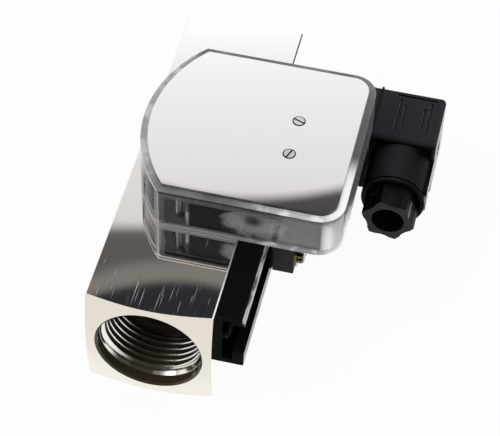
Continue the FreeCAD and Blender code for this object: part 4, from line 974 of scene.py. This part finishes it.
# %% Finishes on the solids
FINISHES = {
    "nickel_brass": nickel,
    "black_anodised": black_rail,
    "steel": bright_steel,
    "blackened_steel": blackened,
    "brass": turned_brass,
    "bright_aluminium": milled_aluminium,
    "magnet": dark_magnet,
    "grey_plastic": grey_moulding,
    "black_plastic": black_moulding,
    "pointer_white": pointer_paint,
    "clear": clear_hood,
    "polished_plate": plate_metal,
    "rubber": seal_rubber,
    "reed_glass": reed_glass,
}
OWN_FINISHES = {
    "scale_drum": drum_moulding,
    "gland_nut": nut_moulding,
    "nut_bar": blackened,
    "clamp_screw": aged_brass,
    "face_screws": screw_steel,
    "metering_sleeve": oiled_brass,
    "inlet_spider": oiled_brass,
    "outlet_spider": oiled_brass,
}
for entry in frame["record"]["subparts"]:
    node = frame["nodes"][entry["node"]]
    node.data.materials.clear()
    node.data.materials.append(OWN_FINISHES.get(entry["node"], FINISHES[entry["material_slot"]]))

# %% [markdown]
# New pieces are grids of points: a shape is a function of two parameters, worked out for the
# whole grid at once. Modelling tools could push faces about instead, but a formula can be checked
# against a drawing. Places are in millimetres here and become metres in the mesh. These helpers
# turn a grid into a closed mesh whose faces look outwards.

# %% Grid to mesh


def mesh_object(name, points, faces, material, body, slot):
    """An object at the origin that rides on a body and takes the given finish; the slot is not
    used.
    """
    mesh = bpy.data.meshes.new(name)
    mesh.from_pydata((points * MM).tolist(), [], faces)
    mesh.materials.append(material)
    mesh.polygons.foreach_set("use_smooth", np.ones(len(mesh.polygons), dtype=bool))
    mesh.update()
    item = new_object(name, mesh)
    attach(item, body)
    print(name, "has", len(points), "points")
    return item


def outward(points, quads):
    """Turn the faces round if the volume that they enclose comes out negative."""
    a, b, c, d = (points[quads[:, i]] for i in range(4))
    volume = np.sum(a * (np.cross(b, c) + np.cross(c, d)))
    return quads[:, ::-1] if volume < 0.0 else quads


def torus_object(name, grid, *dressing):
    """grid[row, column] is a place in millimetres; both directions close on themselves."""
    rows, columns = grid.shape[:2]
    index = np.arange(rows * columns).reshape(rows, columns)
    below = np.roll(index, -1, axis=0)
    corners = [index, np.roll(index, -1, axis=1), np.roll(below, -1, axis=1), below]
    points, quads = grid.reshape(-1, 3), np.stack(corners, -1).reshape(-1, 4)
    return mesh_object(name, points, outward(points, quads).tolist(), *dressing)


def ring_object(name, rings, *dressing):
    """rings[step, column] are closed loops; walls join them, and a fan closes each end."""
    steps, columns = rings.shape[:2]
    ends = rings[[0, -1]].mean(axis=1)
    points = np.concatenate([rings.reshape(-1, 3), ends])
    index = np.arange(steps * columns).reshape(steps, columns)
    ahead = np.roll(index, -1, axis=1)
    walls = np.stack([index[:-1], index[1:], ahead[1:], ahead[:-1]], -1).reshape(-1, 4)
    first = np.full(columns, steps * columns)
    fans = np.concatenate([
        np.stack([index[0], ahead[0], first, first], -1),
        np.stack([ahead[-1], index[-1], first + 1, first + 1], -1),
    ])
    quads = outward(points, np.concatenate([walls, fans]))
    faces = [tuple(dict.fromkeys(quad)) for quad in quads.tolist()]
    return mesh_object(name, points, faces, *dressing)


def raised(plan, height):
    """A plan of (x, y) points as a loop at one height."""
    return np.c_[plan, np.full(len(plan), height)]


print("grid helpers ready")

# %% [markdown]
# The pipe thread in each port. A thread is a radius that falls and rises with the phase of a
# helix: along the axis it repeats once each pitch, and one turn round shifts it by one pitch.
# It could be swept as a profile along a spiral, but a radius on a grid has no ends to mend.

# %% Pipe thread
THREAD_START, THREAD_STOP, THREAD_PITCH = 62.3, 46.4, 2.309
THREAD_ROOT, THREAD_CREST, THREAD_GAP = 16.6, 15.15, 0.02
RIDGE_GAIN, RIDGE_LOSS, RIDGE_MOST = 1.35, 0.2, 0.95
CONE_LENGTH = 2.4
THREAD_COLUMNS, THREAD_ROWS = 160, 220


def thread_points(direction):
    """Radius = root minus depth times a rounded triangle wave of (along / pitch - turn)."""
    turns = np.linspace(0.0, 1.0, THREAD_COLUMNS, endpoint=False)
    along = np.linspace(THREAD_START, THREAD_STOP, THREAD_ROWS)
    phase = along[:, None] / THREAD_PITCH - direction * turns[None, :]
    wave = 1.0 - np.abs(2.0 * (phase % 1.0) - 1.0)
    ridge = np.clip(RIDGE_GAIN * wave - RIDGE_LOSS, 0.0, RIDGE_MOST)
    depth = THREAD_ROOT - THREAD_CREST
    cone = depth * np.clip((THREAD_START - along) / CONE_LENGTH, 0.0, 1.0)
    runout = depth * np.clip((along - THREAD_STOP) / THREAD_PITCH, 0.0, 1.0)
    limit = np.minimum(cone, runout)[:, None]
    inner = THREAD_ROOT - THREAD_GAP - np.minimum(depth * ridge, limit)
    radius = np.concatenate([inner, np.full((2, len(turns)), THREAD_ROOT)])
    place = np.concatenate([along, [THREAD_STOP, THREAD_START]])
    angle = 2.0 * math.pi * turns
    x = radius * np.cos(angle)
    z = FLOW_HEIGHT + radius * np.sin(angle)
    y = direction * np.broadcast_to(place[:, None], radius.shape)
    return np.stack([x, y, z], axis=-1)


for port, direction in (("inlet", -1.0), ("outlet", 1.0)):
    torus_object(
        port + "_thread", thread_points(direction), thread_nickel, "meter_body", "nickel_brass"
    )

# %% [markdown]
# The spring round the guide rod. The solid one is rigid, but a real spring shortens when the flow
# lifts the piston. A keyed shape could do that; here the same coil is made again as a circle
# carried along a helix.

# %% Piston spring
SPRING_START, SPRING_STOP = -15.0, 39.0
SPRING_RADIUS, SPRING_WIRE, SPRING_TURNS = 3.9, 0.45, 9
SPRING_GAP, PISTON_TRAVEL = 0.03, 39.0
TURN_STEPS, WIRE_STEPS = 24, 12


def spring_rings():
    """Wire circles along a helix: angle and place along the axis grow together, turn by turn."""
    share = np.linspace(0.0, 1.0, TURN_STEPS * SPRING_TURNS + 1)[:, None]
    section = np.linspace(0.0, 2.0 * math.pi, WIRE_STEPS, endpoint=False)[None, :]
    inset = SPRING_WIRE + SPRING_GAP
    first, last = SPRING_START + inset, SPRING_STOP - inset
    angle = 2.0 * math.pi * SPRING_TURNS * share
    radius = SPRING_RADIUS + SPRING_WIRE * np.cos(section)
    y = first + (last - first) * share + SPRING_WIRE * np.sin(section)
    x = radius * np.cos(angle)
    z = FLOW_HEIGHT - radius * np.sin(angle)
    return np.stack([x, y, z], axis=-1)


coil = ring_object("spring_coil", spring_rings(), bright_steel, "meter_body", "steel")
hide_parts("piston_spring")
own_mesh(coil)

# %% [markdown]
# The clear hood's plan is an arc about the pointer's pivot, two straight sides and a right edge
# with round corners. It could be drawn as a curve and offset with a tool; worked out from its
# centres and radii, it can be drawn in by any inset and keeps the same number of points.

# %% Plan of the hood
HOOD_RADIUS, HOOD_HALF, HOOD_RIGHT = 48.5, 32.3, 51.7
HOOD_CORNER, HOOD_LEFT_CORNER, CORNER_LEAST = 8.0, 1.5, 0.15
CORNER_STRIP = 1.6
WINDOW_POINTS, SMALL_POINTS, LARGE_POINTS = 72, 8, 20


def arc(centre, radius, start, stop, count):
    """Points on a circle between two angles in degrees."""
    angle = np.radians(np.linspace(start, stop, count))
    return np.stack([centre[0] + radius * np.cos(angle), centre[1] + radius * np.sin(angle)], -1)


def hood_outline(inset):
    """The plan, drawn in by an inset: window arc, near corners, far corners, as one loop."""
    radius, half, right = HOOD_RADIUS - inset, HOOD_HALF - inset, HOOD_RIGHT - inset
    small = max(HOOD_LEFT_CORNER - inset, CORNER_LEAST)
    large = max(HOOD_CORNER - inset, CORNER_LEAST)
    reach = radius - small
    lift = half - small
    left = PIVOT - math.sqrt(reach ** 2 - lift ** 2)
    lean = math.degrees(math.atan2(lift, PIVOT - left))
    return np.concatenate([
        arc((PIVOT, 0.0), radius, 180.0 - lean, 180.0 + lean, WINDOW_POINTS),
        arc((left, -lift), small, 180.0 + lean, 270.0, SMALL_POINTS)[1:],
        [(left + CORNER_STRIP, -half)],
        arc((right - large, -(half - large)), large, 270.0, 360.0, LARGE_POINTS),
        arc((right - large, half - large), large, 0.0, 90.0, LARGE_POINTS),
        arc((left, lift), small, 90.0, 180.0 - lean, SMALL_POINTS)[:-1],
    ])


print("plan has", len(hood_outline(0.0)), "points")

# %% [markdown]
# The wall is that plan drawn in step by step while the height changes: from the plate's recess up
# over the rim, down the outside, round the foot and back up the inside to the roof. A bevel could
# round the solid's sharp edges, but here the profile itself has round corners, which catch light.

# %% Wall of the hood
HOOD_LOW, HOOD_TOP, ROOF_LOW, RECESS = 40.25, 56.3, 53.34, 55.67
HOOD_WALL, HOOD_FOOT, HOOD_RIM = 2.3, 1.3, 0.85
FOOT_HIGH, RIM_LOW = HOOD_LOW + HOOD_FOOT, HOOD_TOP - HOOD_RIM
ROOF_EDGE, ROUND_STEPS = 6.0, 6
HOOD_PROFILE = [
    (ROOF_EDGE, RECESS, 0.0),
    (HOOD_WALL, RECESS, 0.15),
    (HOOD_WALL, HOOD_TOP, 0.2),
    (0.0, HOOD_TOP, 0.4),
    (0.0, RIM_LOW, 0.0),
    (0.0, ROOF_LOW, 0.0),
    (0.0, FOOT_HIGH, 0.0),
    (0.0, HOOD_LOW, 0.35),
    (HOOD_WALL, HOOD_LOW, 0.35),
    (HOOD_WALL, FOOT_HIGH, 0.0),
    (HOOD_WALL, ROOF_LOW, 0.4),
    (ROOF_EDGE, ROOF_LOW, 0.0),
]


def rounded_steps(steps):
    """Profile of (inset, height, radius): a corner with a radius becomes a quadratic curve."""
    result = []
    for i, (inset, height, radius) in enumerate(steps):
        here = np.array([inset, height])
        if not radius:
            result.append(here)
            continue
        before = np.array(steps[i - 1][:2]) - here
        after = np.array(steps[i + 1][:2]) - here
        start = here + before / np.linalg.norm(before) * radius
        stop = here + after / np.linalg.norm(after) * radius
        t = np.linspace(0.0, 1.0, ROUND_STEPS)[:, None]
        result.extend((1 - t) ** 2 * start + 2 * t * (1 - t) * here + t ** 2 * stop)
    return np.array(result)


def hood_rings():
    """One loop for each step of the profile: the plan drawn in by its inset, at its height."""
    steps = rounded_steps(HOOD_PROFILE)
    return np.array([raised(hood_outline(inset), height) for inset, height in steps])


hood_shell = ring_object("hood_shell", hood_rings(), clear_hood, "switch_head", "clear")
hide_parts("hood")

# %% [markdown]
# The hood is one piece of plastic with four finishes: clear walls and roof, the ground rim and
# foot, the window, and the hazy corners. Separate meshes would leave seams in the glass, so each
# face of the one mesh is given its finish by the place of its centre.

# %% Finishes on the hood
CLEAR_WALL, GROUND, WINDOW, HAZY = range(4)
WINDOW_RADIUS, FRONT_WALL = 45.9, -31.0
CORNER_START, CORNER_TOP = 45.3, 54.6
ROOF_SIDE_START, LEFT_STRIP_STOP = 18.0, -3.0
RECESS_TOP, MIDDLE_HEIGHT = RECESS + 0.1, 50.0
for finish in (hood_edge, clear_window, hazy_corner):
    hood_shell.data.materials.append(finish)
centres = np.zeros(3 * len(hood_shell.data.polygons))
hood_shell.data.polygons.foreach_get("center", centres)
x, y, z = centres.reshape(-1, 3).T / MM
kinds = np.where((np.hypot(x - PIVOT, y) > WINDOW_RADIUS) & (x < 0.0), WINDOW, CLEAR_WALL)
kinds[(x > CORNER_START) & (z < CORNER_TOP)] = HAZY
beside_roof = (z > ROOF_LOW) & (z < RIM_LOW) & (x > ROOF_SIDE_START)
kinds[(y < FRONT_WALL) & (beside_roof | (x < LEFT_STRIP_STOP))] = HAZY
kinds[(z > RIM_LOW) | (z < FOOT_HIGH)] = GROUND
kinds[(kinds == GROUND) & (z < RECESS_TOP) & (z > MIDDLE_HEIGHT)] = CLEAR_WALL
hood_shell.data.polygons.foreach_set("material_index", kinds.astype(np.int32))
print("faces of each finish:", np.bincount(kinds).tolist())

# %% [markdown]
# The black drum inside ends in a rounded upright edge, next to the pointer's flag. It catches a
# line of light through the front wall, so it is a slim rod: two equal circles, joined and closed.
# Its pale grey is that line as a painted highlight, with painted shade over its upper part. The
# solid drum could carry the line as paint, but a round edge shows it from every side.

# %% Upright edge of the drum
EDGE_PLACE, EDGE_RADIUS, EDGE_POINTS = (3.5, -29.2), 0.6, 24
EDGE_LOW, EDGE_HIGH = 41.1, 53.2
EDGE_ROD_HIGHLIGHT, EDGE_ROD_SHADE, ROD_SHADE_FROM = (0.85, 0.85, 0.88), (0.10, 0.10, 0.115), (0.0462, 0.0482)


def rod_rings():
    """One circle at each height."""
    turn = np.linspace(0.0, 2.0 * math.pi, EDGE_POINTS, endpoint=False)
    circle = EDGE_PLACE + EDGE_RADIUS * np.stack([np.cos(turn), np.sin(turn)], -1)
    return np.array([raised(circle, height) for height in (EDGE_LOW, EDGE_HIGH)])


def rod_highlight_finish():
    """Pale grey edge: a painted highlight in its lower half and painted shade above."""
    material = moulded("drum_edge_highlight", EDGE_ROD_HIGHLIGHT, None, rough=0.2, bump=0.05, gloss=0.5)
    tree, shader = recipe(material)
    # Painted highlight in the lower half and painted shade above.
    paint(tree, shader, step(tree, parts_of(tree, "Object")[2], *ROD_SHADE_FROM), EDGE_ROD_SHADE)
    return material


ring_object("drum_edge", rod_rings(), rod_highlight_finish(), "switch_head", "black_plastic")

# %% [markdown]
# The pointer's flag is a folded strip, so it shows two white lines through the wall. The solid
# has one leg of the fold; the other is a thin upright bar nearer the drum. It could be a copy of
# the first leg, but four corners at two heights say all there is to say.

# %% Second leg of the flag
POINTER_REST = math.radians(42.0)
LEG_INNER, LEG_OUTER, LEG_HALF = 39.9, 40.2, 0.35
LEG_LOW, LEG_HIGH = 43.65, 52.9


def leg_rings():
    """A rectangle turned about the pivot to the pointer's place at rest, at two heights."""
    reach = np.array([LEG_INNER, LEG_OUTER, LEG_OUTER, LEG_INNER])
    aside = LEG_HALF * np.array([-1.0, -1.0, 1.0, 1.0])
    x = PIVOT - reach * math.cos(POINTER_REST) - aside * math.sin(POINTER_REST)
    y = aside * math.cos(POINTER_REST) - reach * math.sin(POINTER_REST)
    return np.array([raised(np.stack([x, y], -1), height) for height in (LEG_LOW, LEG_HIGH)])


ring_object("flag_leg", leg_rings(), pointer_paint, "pointer", "pointer_white")

# %% [markdown]
# Where the plastic was shot into the mould, the front wall has a cloudy flower round a brown
# gate mark. A painted mask on the wall would lie on its surface, but the cloud is inside the
# plastic, so here it is a thin lens just behind the wall whose alpha fades out from the middle.

# %% Gate mark in the front wall
GATE, GATE_SIZE = (24.1, 49.1), (10.8, 8.6)
CLOUD_CENTRE, CLOUD_SIZE = (GATE[0] + 0.6, 46.8), (12.0, 6.0)
CLOUD_DEPTH, CLOUD_THICKNESS, CLOUD_TIP = -29.7, 0.08, 0.02
CLOUD_RINGS, CLOUD_POINTS = 9, 48
GATE_BROWN, GATE_WHITE, GATE_MIDDLE = (0.10, 0.08, 0.075), (0.62, 0.60, 0.61), (0.06, 0.42)
CLOUD_SHIFT, CLOUD_RAGGED = (0.011, 0.0, 0.004), 0.7
CLOUD_FADE, CLOUD_MOST = (0.55, 1.0), 0.74
THIN_LIMITS, THIN_SHARE = (-0.001, 0.004), 0.45


def lens_rings():
    """An ellipsoid, flat along Y: ellipses as wide as the sine of the lean, at its cosine."""
    lean = np.linspace(CLOUD_TIP, math.pi - CLOUD_TIP, CLOUD_RINGS)[:, None]
    turn = np.linspace(0.0, 2.0 * math.pi, CLOUD_POINTS, endpoint=False)[None, :]
    x = CLOUD_CENTRE[0] + CLOUD_SIZE[0] * np.sin(lean) * np.cos(turn)
    z = CLOUD_CENTRE[1] + CLOUD_SIZE[1] * np.sin(lean) * np.sin(turn)
    y = CLOUD_DEPTH + CLOUD_THICKNESS * np.cos(lean) + 0.0 * turn
    return np.stack([x, y, z], axis=-1)


def gate_material():
    """Cloudy white with a brown middle; alpha fades outwards and upwards, and is ragged."""
    material, tree, shader = new_material("gate_cloud")
    plain(shader, Base_Color=rgb(*GATE_BROWN), Roughness=0.6)
    x, _, z = parts_of(tree, "Object")
    aside = calc(tree, "SUBTRACT", x, GATE[0] * MM)
    rise = calc(tree, "SUBTRACT", z, GATE[1] * MM)
    wide = calc(tree, "DIVIDE", aside, GATE_SIZE[0] * MM)
    radius = distance(tree, wide, calc(tree, "DIVIDE", rise, GATE_SIZE[1] * MM))
    paint(tree, shader, step(tree, radius, *GATE_MIDDLE), GATE_WHITE)
    noise = clouds(tree, density=260.0, detail=3.0, Location=CLOUD_SHIFT)
    outer = ragged(tree, radius, noise, CLOUD_RAGGED)
    fade = step(tree, outer, *CLOUD_FADE, CLOUD_MOST, 0.0)
    thin = step(tree, rise, *THIN_LIMITS, 1.0, THIN_SHARE)
    feed(tree, shader.inputs["Alpha"], both(tree, fade, thin))
    return material


ring_object("gate_cloud", lens_rings(), gate_material(), "switch_head", "clear")

# %% [markdown]
# From the gate towards the round corner the front wall looks brownish grey, and this is painted
# shade. The same trick serves again: a thin sheet behind the wall, whose alpha rises along its
# length. A volume shader in the wall would do it too, but it is slow and an exported model loses
# it.

# %% Painted shade beside the gate mark
SHEET_LEFT, SHEET_RIGHT, SHEET_LOW, SHEET_HIGH = 12.0, 45.4, 41.0, 53.2
SHEET_DEPTH, SHEET_THICKNESS = -29.5, 0.1
SHEET_SHADE_BROWN, SHEET_RAGGED = (0.13, 0.093, 0.093), 0.008
SHEET_LIMITS, SHEET_MOST = (0.0130, 0.0300), 0.92


def sheet_rings():
    """Two equal rectangles, one in front of the other."""
    x = np.array([SHEET_LEFT, SHEET_RIGHT, SHEET_RIGHT, SHEET_LEFT])
    z = np.array([SHEET_LOW, SHEET_LOW, SHEET_HIGH, SHEET_HIGH])
    depth = SHEET_DEPTH + SHEET_THICKNESS * np.array([-0.5, 0.5])[:, None]
    return np.stack([np.tile(x, (2, 1)), np.tile(depth, (1, 4)), np.tile(z, (2, 1))], axis=-1)


def shade_sheet_material():
    """Brownish grey painted shade whose alpha rises from the gate to the corner, with soft clouds.
    """
    material, tree, shader = new_material("wall_shade_sheet")
    plain(shader, Base_Color=rgb(*SHEET_SHADE_BROWN), Roughness=0.6)
    noise = clouds(tree, density=150.0, detail=2.0)
    across = ragged(tree, parts_of(tree, "Object")[0], noise, SHEET_RAGGED)
    # Painted shade on a sheet behind the front wall, rising towards the corner.
    feed(tree, shader.inputs["Alpha"], step(tree, across, *SHEET_LIMITS, 0.0, SHEET_MOST))
    return material


ring_object("wall_shade_sheet", sheet_rings(), shade_sheet_material(), "switch_head", "clear")
